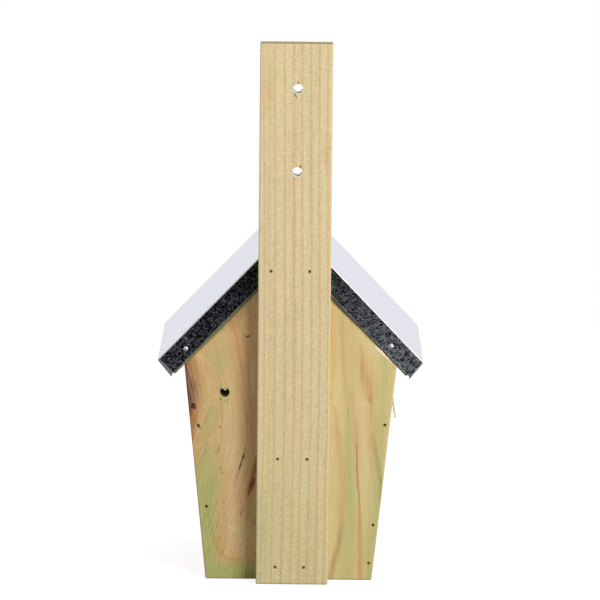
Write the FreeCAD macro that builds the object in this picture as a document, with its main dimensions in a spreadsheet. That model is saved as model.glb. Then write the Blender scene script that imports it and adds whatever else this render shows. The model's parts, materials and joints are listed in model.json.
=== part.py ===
import FreeCAD, Part
import os

import Sketcher

# A garden nest box: tapered pine boards under a folded zinc roof, hung by a tall rear batten.
# Millimetres. X runs across the box, the front looks along -Y and Z is up.
# The origin is at the batten's foot, in the middle of its thickness, on the box's centre line.
# Left and right are as seen from the front, so left is -X.

SIZES = (
    # Pine boards
    ("board_thickness", 14.0),
    ("edge_round", 1.0),
    # Rear batten and its hanging holes
    ("batten_width", 45.0),
    ("batten_thickness", 14.0),
    ("batten_height", 340.0),
    ("batten_offset", 2.0),
    ("hang_hole_diameter", 6.0),
    ("hang_hole_offset", 1.0),
    ("hang_hole_drop", 28.0),
    ("hang_hole_spacing", 51.5),
    # Box
    ("base_width", 104.5),
    ("wall_taper", 5.9),
    ("box_depth", 115.0),
    ("knot_hole_diameter", 6.0),
    ("knot_hole_offset", 41.0),
    ("knot_hole_height", 119.3),
    # Roof boards and zinc sheet
    ("ridge_height", 226.0),
    ("roof_pitch", 46.0),
    ("roof_slope_length", 120.0),
    ("roof_depth", 135.0),
    ("eave_clearance", 0.5),
    ("sheet_thickness", 0.5),
    ("fold_radius", 1.0),
    ("flange_reveal", 1.2),
    ("lip_height", 14.0),
    ("lip_flare", 7.0),
    ("corner_slit", 1.0),
    ("ridge_slit", 0.6),
    # Floor
    ("floor_recess", 4.0),
    ("floor_corner_clip", 9.0),
    ("floor_front_gap", 0.5),
    # Front, which swings out for cleaning
    ("front_side_gap", 1.5),
    ("front_top_gap", 2.0),
    ("front_foot_gap", 2.0),
    ("entrance_diameter", 32.0),
    ("entrance_height", 142.0),
    # Pivot nails, below the top of the side walls
    ("pivot_drop", 14.4),
    ("pivot_diameter", 3.0),
    ("pivot_length", 34.0),
    ("pivot_head_diameter", 6.5),
    ("pivot_head_thickness", 1.2),
    ("running_clearance", 0.05),
    ("bore_end_clearance", 1.0),
    # Latch hook
    ("hook_diameter", 2.5),
    ("hook_bend_radius", 3.5),
    ("hook_height", 26.0),
    ("hook_screw_depth", 16.0),
    ("hook_reach", 4.5),
    ("hook_leg", 20.0),
    # Brads, set below the surface of the wood
    ("brad_diameter", 1.3),
    ("brad_head_diameter", 2.0),
    ("brad_head_thickness", 1.2),
    ("brad_length", 25.0),
    ("brad_set", 1.0),
    ("nail_tip", 2.0),
    # Places of the batten's brads: the top pair below the ridge, all from the batten's centre line
    ("top_brad_drop", 27.5),
    ("top_brad_right", 14.7),
    ("top_brad_left", 9.3),
    ("middle_brad_height", 80.0),
    ("middle_brad_right", 9.6),
    ("middle_brad_left", 8.7),
    ("bottom_brad_height", 11.0),
    ("bottom_brad_right", 10.6),
    ("bottom_brad_left", 7.3),
    # Places of the wall, floor and roof brads
    ("right_brad_edge", 5.0),
    ("right_upper_brad", 98.0),
    ("right_lower_brad", 46.5),
    ("left_brad_edge", 3.2),
    ("left_upper_brad", 99.5),
    ("left_middle_brad", 35.5),
    ("left_lower_brad", 11.0),
    ("floor_brad_inset", 18.0),
    ("roof_brad_edge", 5.0),
    ("roof_brad_inset", 20.0),
    ("gable_brad_run", 55.0),
    # Domed nails of the sheet's flanges
    ("dome_diameter", 3.4),
    ("dome_height", 1.1),
    ("dome_shank_diameter", 1.6),
    ("dome_shank_length", 18.0),
    ("dome_drop", 8.0),
    ("right_dome_inset", 17.5),
    ("left_dome_inset", 21.5),
)

# How far a cutting shape runs past the surface that it opens
OVERRUN = 5.0

RIGHT = 1
LEFT = -1

doc = FreeCAD.newDocument("NestBox")
sheet = doc.addObject("Spreadsheet::Sheet", "Sizes")
for row, (alias, value) in enumerate(SIZES, start=1):
    sheet.set(f"A{row}", alias)
    sheet.set(f"B{row}", str(value))
    sheet.setAlias(f"B{row}", alias)
doc.recompute()


# Expressions

def number(text):
    """The present value of an expression."""
    return float(sheet.evalExpression(text))


def bind(thing, **expressions):
    """Tie properties of an object to the sheet."""
    for name, text in expressions.items():
        thing.setExpression(name, text)


def move(thing, x="0", y="0", z="0"):
    """Tie the place of an object to the sheet."""
    for axis, text in (("x", x), ("y", y), ("z", z)):
        thing.setExpression(f"Placement.Base.{axis}", text)


def wall_outside(height):
    """Distance of a side wall's outer face from the centre line."""
    return f"(Sizes.base_width / 2 + ({height}) * tan(Sizes.wall_taper))"


def wall_inside(height):
    """Distance of a side wall's inner face from the centre line."""
    return f"({wall_outside(height)} - Sizes.board_thickness / cos(Sizes.wall_taper))"


def slope_x(run, depth):
    """X of a point on the right slope: run from the ridge, depth below the sheet's outer face."""
    return f"(({run}) * cos(Sizes.roof_pitch) - ({depth}) * sin(Sizes.roof_pitch))"


def slope_z(run, depth):
    """Height of a point on the slope: run from the ridge, depth below the sheet's outer face."""
    return f"(Sizes.ridge_height - ({run}) * sin(Sizes.roof_pitch) - ({depth}) * cos(Sizes.roof_pitch))"


def slope_point(run, depth):
    """A point on the right slope, in the plane of the gable."""
    return slope_x(run, depth), slope_z(run, depth)


def ridge_point(depth):
    """The point on the centre line that lies at a depth below the sheet's outer face."""
    return "0", f"(Sizes.ridge_height - ({depth}) / cos(Sizes.roof_pitch))"


def wall_top(half_width_at_base):
    """Height where a wall face of that half width at its foot meets the roof boards."""
    return (f"(({ridge_point(BOARD_UNDERSIDE)[1]} - ({half_width_at_base}) * tan(Sizes.roof_pitch))"
            " / (1 + tan(Sizes.roof_pitch) * tan(Sizes.wall_taper)))")


BOARD_UNDERSIDE = "(Sizes.sheet_thickness + Sizes.board_thickness)"
WALL_TOP_OUTSIDE = wall_top(wall_outside(0))
WALL_TOP_INSIDE = wall_top(wall_inside(0))
PIVOT_HEIGHT = f"({WALL_TOP_OUTSIDE} - Sizes.pivot_drop)"
BATTEN_REAR = "(Sizes.batten_thickness / 2)"
BACK_REAR = f"({BATTEN_REAR} - Sizes.batten_thickness)"
BACK_FRONT = f"({BACK_REAR} - Sizes.board_thickness)"
BOX_FRONT = f"({BACK_REAR} - Sizes.box_depth)"
FRONT_REAR = f"({BOX_FRONT} + Sizes.board_thickness)"
FLOOR_FRONT = f"({FRONT_REAR} + Sizes.floor_front_gap)"
ROOF_FRONT = f"({BACK_REAR} - Sizes.roof_depth)"
# The rear of the room inside the folded sheet, and how deep that room is
SHEET_REAR = f"({BACK_REAR} - Sizes.sheet_thickness)"
INSIDE_SHEET = "(Sizes.roof_depth - 2 * Sizes.sheet_thickness)"


# Shapes

def outline(body, name, points, circles=()):
    """Sketch a closed outline, and round holes in it, on the body's own XZ plane."""
    sketch = body.newObject("Sketcher::SketchObject", name)
    support = next(item for item in body.Origin.OriginFeatures if item.Role == "XZ_Plane")
    sketch.AttachmentSupport = [(support, "")]
    sketch.MapMode = "FlatFace"
    corners = [FreeCAD.Vector(number(across), number(up), 0) for across, up in points]
    count = len(points)
    for index in range(count):
        sketch.addGeometry(Part.LineSegment(corners[index], corners[(index + 1) % count]))
    for index in range(count):
        sketch.addConstraint(Sketcher.Constraint("Coincident", index, 2, (index + 1) % count, 1))
    for index, point in enumerate(points):
        pin_point(sketch, index, 1, f"corner{index}", point)
    for index, (point, diameter) in enumerate(circles, start=count):
        centre = FreeCAD.Vector(number(point[0]), number(point[1]), 0)
        circle = Part.Circle(centre, FreeCAD.Vector(0, 0, 1), number(diameter) / 2)
        sketch.addGeometry(circle)
        pin_point(sketch, index, 3, f"centre{index}", point)
        size = sketch.addConstraint(Sketcher.Constraint("Diameter", index, number(diameter)))
        sketch.renameConstraint(size, f"diameter{index}")
        sketch.setExpression(f"Constraints.diameter{index}", diameter)
    return sketch


def pin_point(sketch, index, end, name, point):
    """Tie one point of a sketch to its distances from the sketch's origin."""
    for kind, letter, text in (("DistanceX", "x", point[0]), ("DistanceY", "y", point[1])):
        pin = sketch.addConstraint(Sketcher.Constraint(kind, -1, 1, index, end, number(text)))
        sketch.renameConstraint(pin, name + letter)
        sketch.setExpression(f"Constraints.{name}{letter}", text)


def prism(name, points, depth, rear, rounding=None, circles=()):
    """Pad an outline of the XZ plane from its rear face towards the front."""
    body = doc.addObject("PartDesign::Body", name)
    pad = body.newObject("PartDesign::Pad", name + "_pad")
    pad.Profile = outline(body, name + "_outline", points, circles)
    bind(pad, Length=depth)
    if rounding:
        doc.recompute()
        fillet = body.newObject("PartDesign::Fillet", name + "_easing")
        fillet.Base = (pad, [""])
        fillet.UseAllEdges = True
        bind(fillet, Radius=rounding)
    move(body, y=rear)
    return body


def mirrored(side, points):
    """The outline of the right-hand piece, or of its mirror image."""
    return [(f"({side} * {across})", up) for across, up in points]


def both_sides(points):
    """A whole outline from its right half, which starts and ends on the centre line."""
    left = [(f"(-1 * {across})", up) for across, up in reversed(points[1:-1])]
    return points + left


def cylinder(name, diameter, height, z="0"):
    """A round bar that stands on the XY plane."""
    bar = doc.addObject("Part::Cylinder", name)
    bind(bar, Radius=f"({diameter}) / 2", Height=height)
    move(bar, z=z)
    return bar


def point_of(name, diameter, z):
    """The sharp end of a nail, at the end of its shank."""
    cone = doc.addObject("Part::Cone", name)
    bind(cone, Radius1=f"({diameter}) / 2", Radius2="0", Height="Sizes.nail_tip")
    move(cone, z=z)
    return cone


def fuse(name, pieces):
    """Several shapes made one solid."""
    whole = doc.addObject("Part::MultiFuse", name)
    whole.Shapes = pieces
    return whole


def group(name, pieces):
    """Separate solids that share one node."""
    whole = doc.addObject("Part::Compound", name)
    whole.Links = pieces
    return whole


def cut(name, blank, tools):
    """A blank with holes made by separate tools."""
    whole = doc.addObject("Part::Cut", name)
    whole.Base = blank
    whole.Tool = group(name + "_holes", tools)
    return whole


def box(name, x_size, y_size, z_size, corner):
    """A rectangular block from its lowest corner."""
    block = doc.addObject("Part::Box", name)
    bind(block, Length=x_size, Width=y_size, Height=z_size)
    move(block, *corner)
    return block


# Directions that a nail is driven in: the axis and angle that turn +Z that way
INTO_FRONT = ((1, 0, 0), "90")
INTO_REAR = ((1, 0, 0), "-90")
ACROSS = {RIGHT: ((0, 1, 0), "-90"), LEFT: ((0, 1, 0), "90")}
DOWN_SLOPE = {RIGHT: ((0, 1, 0), "180 + Sizes.roof_pitch"), LEFT: ((0, 1, 0), "180 - Sizes.roof_pitch")}


def placed(name, master, direction, x, y, z):
    """A copy of a nail, or of its hole, driven at a point in a direction."""
    copy = doc.addObject("App::Link", name)
    copy.LinkedObject = master
    copy.LinkTransform = False
    axis, angle = direction
    copy.Placement = FreeCAD.Placement(FreeCAD.Vector(), FreeCAD.Rotation(FreeCAD.Vector(*axis), 1))
    copy.setExpression("Placement.Rotation.Angle", angle)
    move(copy, x, y, z)
    return copy


# Fasteners, each along +Z from the surface of the wood at Z = 0

def make_brad():
    """A brad whose small head is set below the surface, and the hole that it is driven in."""
    shank_start = "(Sizes.brad_set + Sizes.brad_head_thickness)"
    shank_end = "(Sizes.brad_set + Sizes.brad_length - Sizes.nail_tip)"
    head = cylinder("brad_head", "Sizes.brad_head_diameter", "Sizes.brad_head_thickness", "Sizes.brad_set")
    shank = cylinder("brad_shank", "Sizes.brad_diameter", f"{shank_end} - {shank_start}", shank_start)
    brad = fuse("brad", [head, shank, point_of("brad_point", "Sizes.brad_diameter", shank_end)])
    mouth = cylinder("brad_mouth", "Sizes.brad_head_diameter", f"Sizes.brad_set + {OVERRUN}", f"-{OVERRUN}")
    return brad, fuse("brad_hole", [brad, mouth])


def make_dome_nail():
    """A nail with a domed head that holds the zinc flange."""
    radius = "((Sizes.dome_diameter ^ 2 / 4 + Sizes.dome_height ^ 2) / (2 * Sizes.dome_height))"
    dome = doc.addObject("Part::Sphere", "dome_head")
    bind(dome, Radius=radius, Angle2=f"-asin(({radius} - Sizes.dome_height) / {radius})")
    dome.Angle1 = -90
    move(dome, z=f"{radius} - Sizes.dome_height")
    shank_end = "(Sizes.dome_shank_length - Sizes.nail_tip)"
    shank = cylinder("dome_shank", "Sizes.dome_shank_diameter", shank_end)
    return fuse("dome_nail", [dome, shank, point_of("dome_point", "Sizes.dome_shank_diameter", shank_end)])


def make_pivot_nail():
    """A flat-headed nail that the front swings on."""
    shank_end = "(Sizes.pivot_length - Sizes.nail_tip)"
    thickness = "Sizes.pivot_head_thickness"
    head = cylinder("pivot_head", "Sizes.pivot_head_diameter", thickness, f"-{thickness}")
    shank = cylinder("pivot_shank", "Sizes.pivot_diameter", shank_end)
    return fuse("pivot_nail", [head, shank, point_of("pivot_point", "Sizes.pivot_diameter", shank_end)])


brad, brad_hole = make_brad()
dome_nail = make_dome_nail()
pivot_nail = make_pivot_nail()


def drive_brads(node, direction, places):
    """Brads of one joint: their node, and the holes that they make."""
    brads = []
    holes = []
    for index, place in enumerate(places):
        brads.append(placed(f"{node}_{index}", brad, direction, *place))
        holes.append(placed(f"{node}_hole_{index}", brad_hole, direction, *place))
    return group(node, brads), holes


def batten_brads():
    """Three pairs of brads from the batten's rear face."""
    places = []
    for right, left, height in (
        ("Sizes.top_brad_right", "Sizes.top_brad_left", "Sizes.ridge_height - Sizes.top_brad_drop"),
        ("Sizes.middle_brad_right", "Sizes.middle_brad_left", "Sizes.middle_brad_height"),
        ("Sizes.bottom_brad_right", "Sizes.bottom_brad_left", "Sizes.bottom_brad_height"),
    ):
        places.append((f"{right} - Sizes.batten_offset", BATTEN_REAR, height))
        places.append((f"-{left} - Sizes.batten_offset", BATTEN_REAR, height))
    return drive_brads("batten_brads", INTO_FRONT, places)


def wall_brads(side, name, edge, heights):
    """Brads from the back panel into the rear edge of a side wall."""
    places = [(f"{side} * ({wall_outside(height)} - {edge})", BACK_REAR, height) for height in heights]
    return drive_brads(name, INTO_FRONT, places)


def floor_brads(side, name):
    """Brads from a side wall into the edge of the floor."""
    height = "(Sizes.floor_recess + Sizes.board_thickness / 2)"
    rear = f"{BACK_FRONT} - Sizes.floor_brad_inset"
    front = f"{FLOOR_FRONT} + Sizes.floor_brad_inset"
    places = [(f"{side} * {wall_outside(height)}", y, height) for y in (rear, front)]
    return drive_brads(name, ACROSS[side], places)


def roof_brads(side, name):
    """Brads through a roof board: one into the back panel, two into the top of the side wall."""
    drop = f"(Sizes.ridge_height - {WALL_TOP_OUTSIDE})"
    eave_run = f"{wall_outside(WALL_TOP_OUTSIDE)} * cos(Sizes.roof_pitch) + {drop} * sin(Sizes.roof_pitch)"
    wall_run = f"({eave_run} - Sizes.roof_brad_edge)"
    places = []
    for run, y in (
        ("Sizes.gable_brad_run", f"{BACK_REAR} - Sizes.board_thickness / 2"),
        (wall_run, f"{BACK_FRONT} - Sizes.roof_brad_inset"),
        (wall_run, f"{FRONT_REAR} + Sizes.roof_brad_inset"),
    ):
        x, z = slope_point(run, "Sizes.sheet_thickness")
        places.append((f"{side} * {x}", y, z))
    return drive_brads(name, DOWN_SLOPE[side], places)


def flange_nails(name, direction, y):
    """A domed nail in the flange of each slope, near the eaves."""
    nails = []
    for side, inset in ((RIGHT, "Sizes.right_dome_inset"), (LEFT, "Sizes.left_dome_inset")):
        x, z = slope_point(f"Sizes.roof_slope_length - {inset}", "Sizes.dome_drop")
        nails.append(placed(f"{name}_{len(nails)}", dome_nail, direction, f"{side} * {x}", y, z))
    return group(name, nails), nails


def pivot(side, name):
    """A pivot nail through a side wall, and its running hole in the front."""
    y = f"{BOX_FRONT} + Sizes.board_thickness / 2"
    seat = wall_outside(f"{PIVOT_HEIGHT} + Sizes.pivot_head_diameter / 2")
    nail = placed(name + "_driven", pivot_nail, ACROSS[side], f"{side} * {seat}", y, PIVOT_HEIGHT)
    length = "(Sizes.pivot_length + Sizes.bore_end_clearance)"
    bore = cylinder(name + "_bore_bar", "Sizes.pivot_diameter + 2 * Sizes.running_clearance", length)
    hole = placed(name + "_bore", bore, ACROSS[side], f"{side} * {seat}", y, PIVOT_HEIGHT)
    return nail, group(name, [nail]), hole


batten_brad_node, batten_holes = batten_brads()
top_batten_holes = batten_holes[:2]
bottom_batten_holes = batten_holes[4:]
right_wall_node, right_wall_holes = wall_brads(
    RIGHT, "right_wall_brads", "Sizes.right_brad_edge",
    ("Sizes.right_upper_brad", "Sizes.right_lower_brad"))
left_wall_node, left_wall_holes = wall_brads(
    LEFT, "left_wall_brads", "Sizes.left_brad_edge",
    ("Sizes.left_upper_brad", "Sizes.left_middle_brad", "Sizes.left_lower_brad"))
right_floor_node, right_floor_holes = floor_brads(RIGHT, "right_floor_brads")
left_floor_node, left_floor_holes = floor_brads(LEFT, "left_floor_brads")
right_roof_node, right_roof_holes = roof_brads(RIGHT, "right_roof_brads")
left_roof_node, left_roof_holes = roof_brads(LEFT, "left_roof_brads")
rear_dome_node, rear_domes = flange_nails("rear_flange_nails", INTO_FRONT, BACK_REAR)
front_dome_node, front_domes = flange_nails("front_flange_nails", INTO_REAR, ROOF_FRONT)
right_pivot, right_pivot_node, right_bore = pivot(RIGHT, "right_pivot_nail")
left_pivot, left_pivot_node, left_bore = pivot(LEFT, "left_pivot_nail")


# Latch hook in the right wall, its leg hanging beside the front

HOOK_X = f"({wall_outside('Sizes.hook_height')} - Sizes.board_thickness / (2 * cos(Sizes.wall_taper)))"


def make_latch_hook():
    """A square-bend screw hook, and the hole that it turns in."""
    stem_length = "(Sizes.hook_screw_depth + Sizes.hook_reach - Sizes.hook_bend_radius)"
    leg_y = f"({BOX_FRONT} - Sizes.hook_reach)"
    bend_y = f"({leg_y} + Sizes.hook_bend_radius)"
    leg_top = "(Sizes.hook_height - Sizes.hook_bend_radius)"
    leg_length = "(Sizes.hook_leg - Sizes.hook_bend_radius - Sizes.hook_diameter / 2)"
    stem = cylinder("hook_stem", "Sizes.hook_diameter", f"{stem_length} - Sizes.nail_tip")
    tip = point_of("hook_point", "Sizes.hook_diameter", f"{stem_length} - Sizes.nail_tip")
    bar = fuse("hook_screw_bar", [stem, tip])
    screw = placed("hook_screw", bar, INTO_REAR, HOOK_X, bend_y, "Sizes.hook_height")
    bend = doc.addObject("Part::Torus", "hook_bend")
    bind(bend, Radius1="Sizes.hook_bend_radius", Radius2="Sizes.hook_diameter / 2")
    bend.Angle3 = 90
    bend.Placement.Rotation = FreeCAD.Rotation(
        FreeCAD.Vector(0, 0, 1), FreeCAD.Vector(0, -1, 0), FreeCAD.Vector(1, 0, 0), "XYZ")
    move(bend, HOOK_X, bend_y, leg_top)
    leg = cylinder("hook_leg_bar", "Sizes.hook_diameter", leg_length)
    move(leg, HOOK_X, leg_y, f"{leg_top} - {leg_length}")
    end = doc.addObject("Part::Sphere", "hook_end")
    bind(end, Radius="Sizes.hook_diameter / 2")
    move(end, HOOK_X, leg_y, f"{leg_top} - {leg_length}")
    hook = fuse("latch_hook", [screw, bend, leg, end])
    bore_length = f"(Sizes.hook_screw_depth + Sizes.bore_end_clearance + {OVERRUN})"
    drill = cylinder("hook_drill", "Sizes.hook_diameter + 2 * Sizes.running_clearance", bore_length)
    bore = placed("hook_bore", drill, INTO_REAR, HOOK_X, f"{BOX_FRONT} - {OVERRUN}", "Sizes.hook_height")
    return hook, bore


hook_node, hook_bore = make_latch_hook()


# Boards

def make_batten():
    """The tall rear batten, drilled for the brads and for two hanging screws."""
    right = "(Sizes.batten_width / 2 - Sizes.batten_offset)"
    left = "(-Sizes.batten_width / 2 - Sizes.batten_offset)"
    corners = [(left, "0"), (right, "0"), (right, "Sizes.batten_height"), (left, "Sizes.batten_height")]
    blank = prism("batten_blank", corners, "Sizes.batten_thickness", BATTEN_REAR, "Sizes.edge_round")
    drill = cylinder("hang_drill", "Sizes.hang_hole_diameter", f"Sizes.batten_thickness + 2 * {OVERRUN}")
    x = "-Sizes.batten_offset - Sizes.hang_hole_offset"
    start = f"{BATTEN_REAR} + {OVERRUN}"
    upper_height = "(Sizes.batten_height - Sizes.hang_hole_drop)"
    lower_height = f"({upper_height} - Sizes.hang_hole_spacing)"
    upper = placed("upper_hang_hole", drill, INTO_FRONT, x, start, upper_height)
    lower = placed("lower_hang_hole", drill, INTO_FRONT, x, start, lower_height)
    return cut("rear_batten", blank, batten_holes + [upper, lower])


def make_back_panel():
    """The back panel, with its lost knot, behind the side walls and under the roof boards."""
    top = (wall_outside(WALL_TOP_OUTSIDE), WALL_TOP_OUTSIDE)
    right_half = [("0", "0"), (wall_outside(0), "0"), top, ridge_point(BOARD_UNDERSIDE)]
    corners = both_sides(right_half)[1:]
    blank = prism("back_blank", corners, "Sizes.board_thickness", BACK_REAR, "Sizes.edge_round")
    drill = cylinder("knot_drill", "Sizes.knot_hole_diameter", f"Sizes.board_thickness + 2 * {OVERRUN}")
    start = f"{BACK_REAR} + {OVERRUN}"
    knot = placed("knot_hole", drill, INTO_FRONT, "Sizes.knot_hole_offset", start, "Sizes.knot_hole_height")
    roof_holes = [right_roof_holes[0], left_roof_holes[0]]
    rear_holes = batten_holes + right_wall_holes + left_wall_holes
    return cut("back_panel", blank, rear_holes + roof_holes + [knot])


def make_side_wall(side, name, holes):
    """A side wall, leaning out with the taper, its top cut to the roof's slope."""
    corners = mirrored(side, [
        (wall_inside(0), "0"),
        (wall_outside(0), "0"),
        (wall_outside(WALL_TOP_OUTSIDE), WALL_TOP_OUTSIDE),
        (wall_inside(WALL_TOP_INSIDE), WALL_TOP_INSIDE),
    ])
    depth = "Sizes.box_depth - Sizes.board_thickness"
    blank = prism(name + "_blank", corners, depth, BACK_FRONT, "Sizes.edge_round")
    return cut(name, blank, holes)


def make_floor():
    """The floor between the walls, its corners clipped so that water drains."""
    top = "(Sizes.floor_recess + Sizes.board_thickness)"
    section = both_sides([
        ("0", "Sizes.floor_recess"),
        (wall_inside("Sizes.floor_recess"), "Sizes.floor_recess"),
        (wall_inside(top), top),
        ("0", top),
    ])
    corners = [point for point in section if point[0] != "0"]
    depth = f"({BACK_FRONT} - {FLOOR_FRONT})"
    slab = prism("floor_slab", corners, depth, BACK_FRONT, "Sizes.edge_round")
    width = "sqrt(2) * Sizes.floor_corner_clip"
    height = f"Sizes.board_thickness + 2 * {OVERRUN}"
    clips = []
    for side in (RIGHT, LEFT):
        for y in (BACK_FRONT, FLOOR_FRONT):
            x = f"{side} * {wall_inside(top)}"
            corner = (x, f"{y} - Sizes.floor_corner_clip", f"Sizes.floor_recess - {OVERRUN}")
            clip = box(f"floor_clip_{len(clips)}", width, width, height, corner)
            clip.Placement.Rotation = FreeCAD.Rotation(FreeCAD.Vector(0, 0, 1), 45)
            clips.append(clip)
    return cut("floor_panel", slab, clips + right_floor_holes + left_floor_holes + bottom_batten_holes)


def make_roof_board(side, name, holes):
    """A roof board, mitred to its twin at the ridge and cut square at the eaves."""
    run = "(Sizes.roof_slope_length - Sizes.sheet_thickness - Sizes.eave_clearance)"
    corners = mirrored(side, [
        ridge_point(BOARD_UNDERSIDE),
        slope_point(run, BOARD_UNDERSIDE),
        slope_point(run, "Sizes.sheet_thickness"),
        ridge_point("Sizes.sheet_thickness"),
    ])
    blank = prism(name + "_blank", corners, INSIDE_SHEET, SHEET_REAR, "Sizes.edge_round")
    return cut(name, blank, holes)


def make_front():
    """The front between the walls, with the round entrance and the two pivot holes."""
    def edge(height):
        return f"({wall_inside(height)} - Sizes.front_side_gap / cos(Sizes.wall_taper))"

    shoulder = edge(PIVOT_HEIGHT)
    peak = f"({ridge_point(BOARD_UNDERSIDE)[1]} - Sizes.front_top_gap / cos(Sizes.roof_pitch))"
    right_half = [
        ("0", "Sizes.front_foot_gap"),
        (edge("Sizes.front_foot_gap"), "Sizes.front_foot_gap"),
        (shoulder, PIVOT_HEIGHT),
        (shoulder, f"({peak} - {shoulder} * tan(Sizes.roof_pitch))"),
        ("0", peak),
    ]
    corners = both_sides(right_half)[1:]
    entrance = (("0", "Sizes.entrance_height"), "Sizes.entrance_diameter")
    blank = prism("front_blank", corners, "Sizes.board_thickness", FRONT_REAR, "Sizes.edge_round",
                  [entrance])
    return cut("front_panel", blank, [right_bore, left_bore])


# Zinc sheet

# How deep the gable flanges hang, showing a strip of the roof boards below them
FLANGE_HEIGHT = f"({BOARD_UNDERSIDE} - Sizes.flange_reveal)"
# Where the flanges end beside the lips, and how deep the folds reach
LIP_START = "(Sizes.roof_slope_length - Sizes.corner_slit - Sizes.sheet_thickness)"
FOLD_DEPTH = "(Sizes.fold_radius + Sizes.sheet_thickness)"
# Depth of the blocks that the sheet's open underside is cut from
SHEET_BLOCK = f"({FLANGE_HEIGHT} + Sizes.lip_height)"


def sheet_block(name, inset, length, rear, radius):
    """A solid under the roof's outer faces, moved in by an inset and rounded along its folds."""
    def lip_run(depth):
        flare = f"(({depth}) * sin(Sizes.lip_flare) - {inset}) / cos(Sizes.lip_flare)"
        return f"(Sizes.roof_slope_length + {flare})"

    low = f"({SHEET_BLOCK} + {inset})"
    right_half = [
        ridge_point(low),
        slope_point(lip_run(low), low),
        slope_point(lip_run(inset), inset),
        ridge_point(inset),
    ]
    return prism(name, both_sides(right_half), length, rear, radius)


def make_sheet():
    """The folded sheet: two slopes, flanges down both gables and a flared lip along each eave."""
    outer = sheet_block("sheet_outer", "0", "Sizes.roof_depth", BACK_REAR, "Sizes.fold_radius")
    inner_radius = "Sizes.fold_radius - Sizes.sheet_thickness"
    inner = sheet_block("sheet_inner", "Sizes.sheet_thickness", INSIDE_SHEET, SHEET_REAR, inner_radius)
    hollow = doc.addObject("Part::Cut", "sheet_hollow")
    hollow.Base = outer
    hollow.Tool = inner
    past = f"(Sizes.roof_slope_length + {OVERRUN} + Sizes.lip_height)"
    right_half = [
        ridge_point(FLANGE_HEIGHT),
        slope_point(LIP_START, FLANGE_HEIGHT),
        slope_point(LIP_START, "Sizes.lip_height"),
        slope_point(past, "Sizes.lip_height"),
        slope_point(past, f"-{OVERRUN}"),
        ridge_point(f"-{OVERRUN}"),
    ]
    kept_depth = f"Sizes.roof_depth + 2 * {OVERRUN}"
    kept = prism("sheet_kept", both_sides(right_half), kept_depth, f"{BACK_REAR} + {OVERRUN}")
    folded = doc.addObject("Part::Common", "sheet_folded")
    folded.Base = hollow
    folded.Tool = kept
    return cut("roof_sheet", folded, sheet_slits() + rear_domes + front_domes + top_batten_holes)


def sheet_slits():
    """Slits that free each flange at the ridge and from the lips at the four corners."""
    slits = []
    depth = f"({OVERRUN} + Sizes.fold_radius)"
    foot = ridge_point(f"{SHEET_BLOCK} + {FOLD_DEPTH}")[1]
    height = f"{SHEET_BLOCK} / cos(Sizes.roof_pitch)"
    for gable, y in (("rear", f"{BACK_REAR} - Sizes.fold_radius"), ("front", f"{ROOF_FRONT} - {OVERRUN}")):
        corner = ("-Sizes.ridge_slit / 2", y, foot)
        slits.append(box(f"{gable}_ridge_slit", "Sizes.ridge_slit", depth, height, corner))
        slits.append(corner_slit(f"{gable}_right_slit", RIGHT, depth, f"{y} + {depth}"))
        slits.append(corner_slit(f"{gable}_left_slit", LEFT, depth, f"{y} + {depth}"))
    return slits


def corner_slit(name, side, depth, rear):
    """A slit between a gable flange and the lip of one eave, below the folds."""
    lip_end = "Sizes.roof_slope_length + Sizes.lip_height"
    corners = mirrored(side, [
        slope_point(LIP_START, FOLD_DEPTH),
        slope_point(lip_end, FOLD_DEPTH),
        slope_point(lip_end, SHEET_BLOCK),
        slope_point(LIP_START, SHEET_BLOCK),
    ])
    return prism(name, corners, depth, rear)


right_wall_tools = right_wall_holes + right_floor_holes + right_roof_holes[1:] + [right_pivot, hook_bore]
left_wall_tools = left_wall_holes + left_floor_holes + left_roof_holes[1:] + [left_pivot]
right_roof_tools = right_roof_holes + [rear_domes[0], front_domes[0], top_batten_holes[0]]
left_roof_tools = left_roof_holes + [rear_domes[1], front_domes[1], top_batten_holes[1]]
NODES = (
    make_batten(),
    make_back_panel(),
    make_side_wall(RIGHT, "right_wall", right_wall_tools),
    make_side_wall(LEFT, "left_wall", left_wall_tools),
    make_floor(),
    make_roof_board(RIGHT, "right_roof_board", right_roof_tools),
    make_roof_board(LEFT, "left_roof_board", left_roof_tools),
    make_sheet(),
    make_front(),
    hook_node,
    right_pivot_node,
    left_pivot_node,
    batten_brad_node,
    right_wall_node,
    left_wall_node,
    right_floor_node,
    left_floor_node,
    right_roof_node,
    left_roof_node,
    rear_dome_node,
    front_dome_node,
)

doc.recompute()
for thing in doc.Objects:
    if {"Invalid", "Error"} & set(thing.State):
        raise RuntimeError(f"{thing.Label} failed: {thing.State}")
for node in NODES:
    if node.Shape.isNull() or not node.Shape.isValid():
        raise RuntimeError(f"{node.Label} has no valid shape")

os.makedirs("parts", exist_ok=True)
for node in NODES:
    node.Shape.exportStep(f"parts/{node.Label}.step")
    print(f"{node.Label}: {len(node.Shape.Solids)} solids, {node.Shape.Volume:.1f} mm3")
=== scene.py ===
"""Looks of a pine nest box with a folded zinc roof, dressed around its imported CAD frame."""

import json
import logging
import math
from dataclasses import dataclass
from enum import Enum

import bmesh
import bpy
from mathutils import Matrix, Vector, noise


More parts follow.
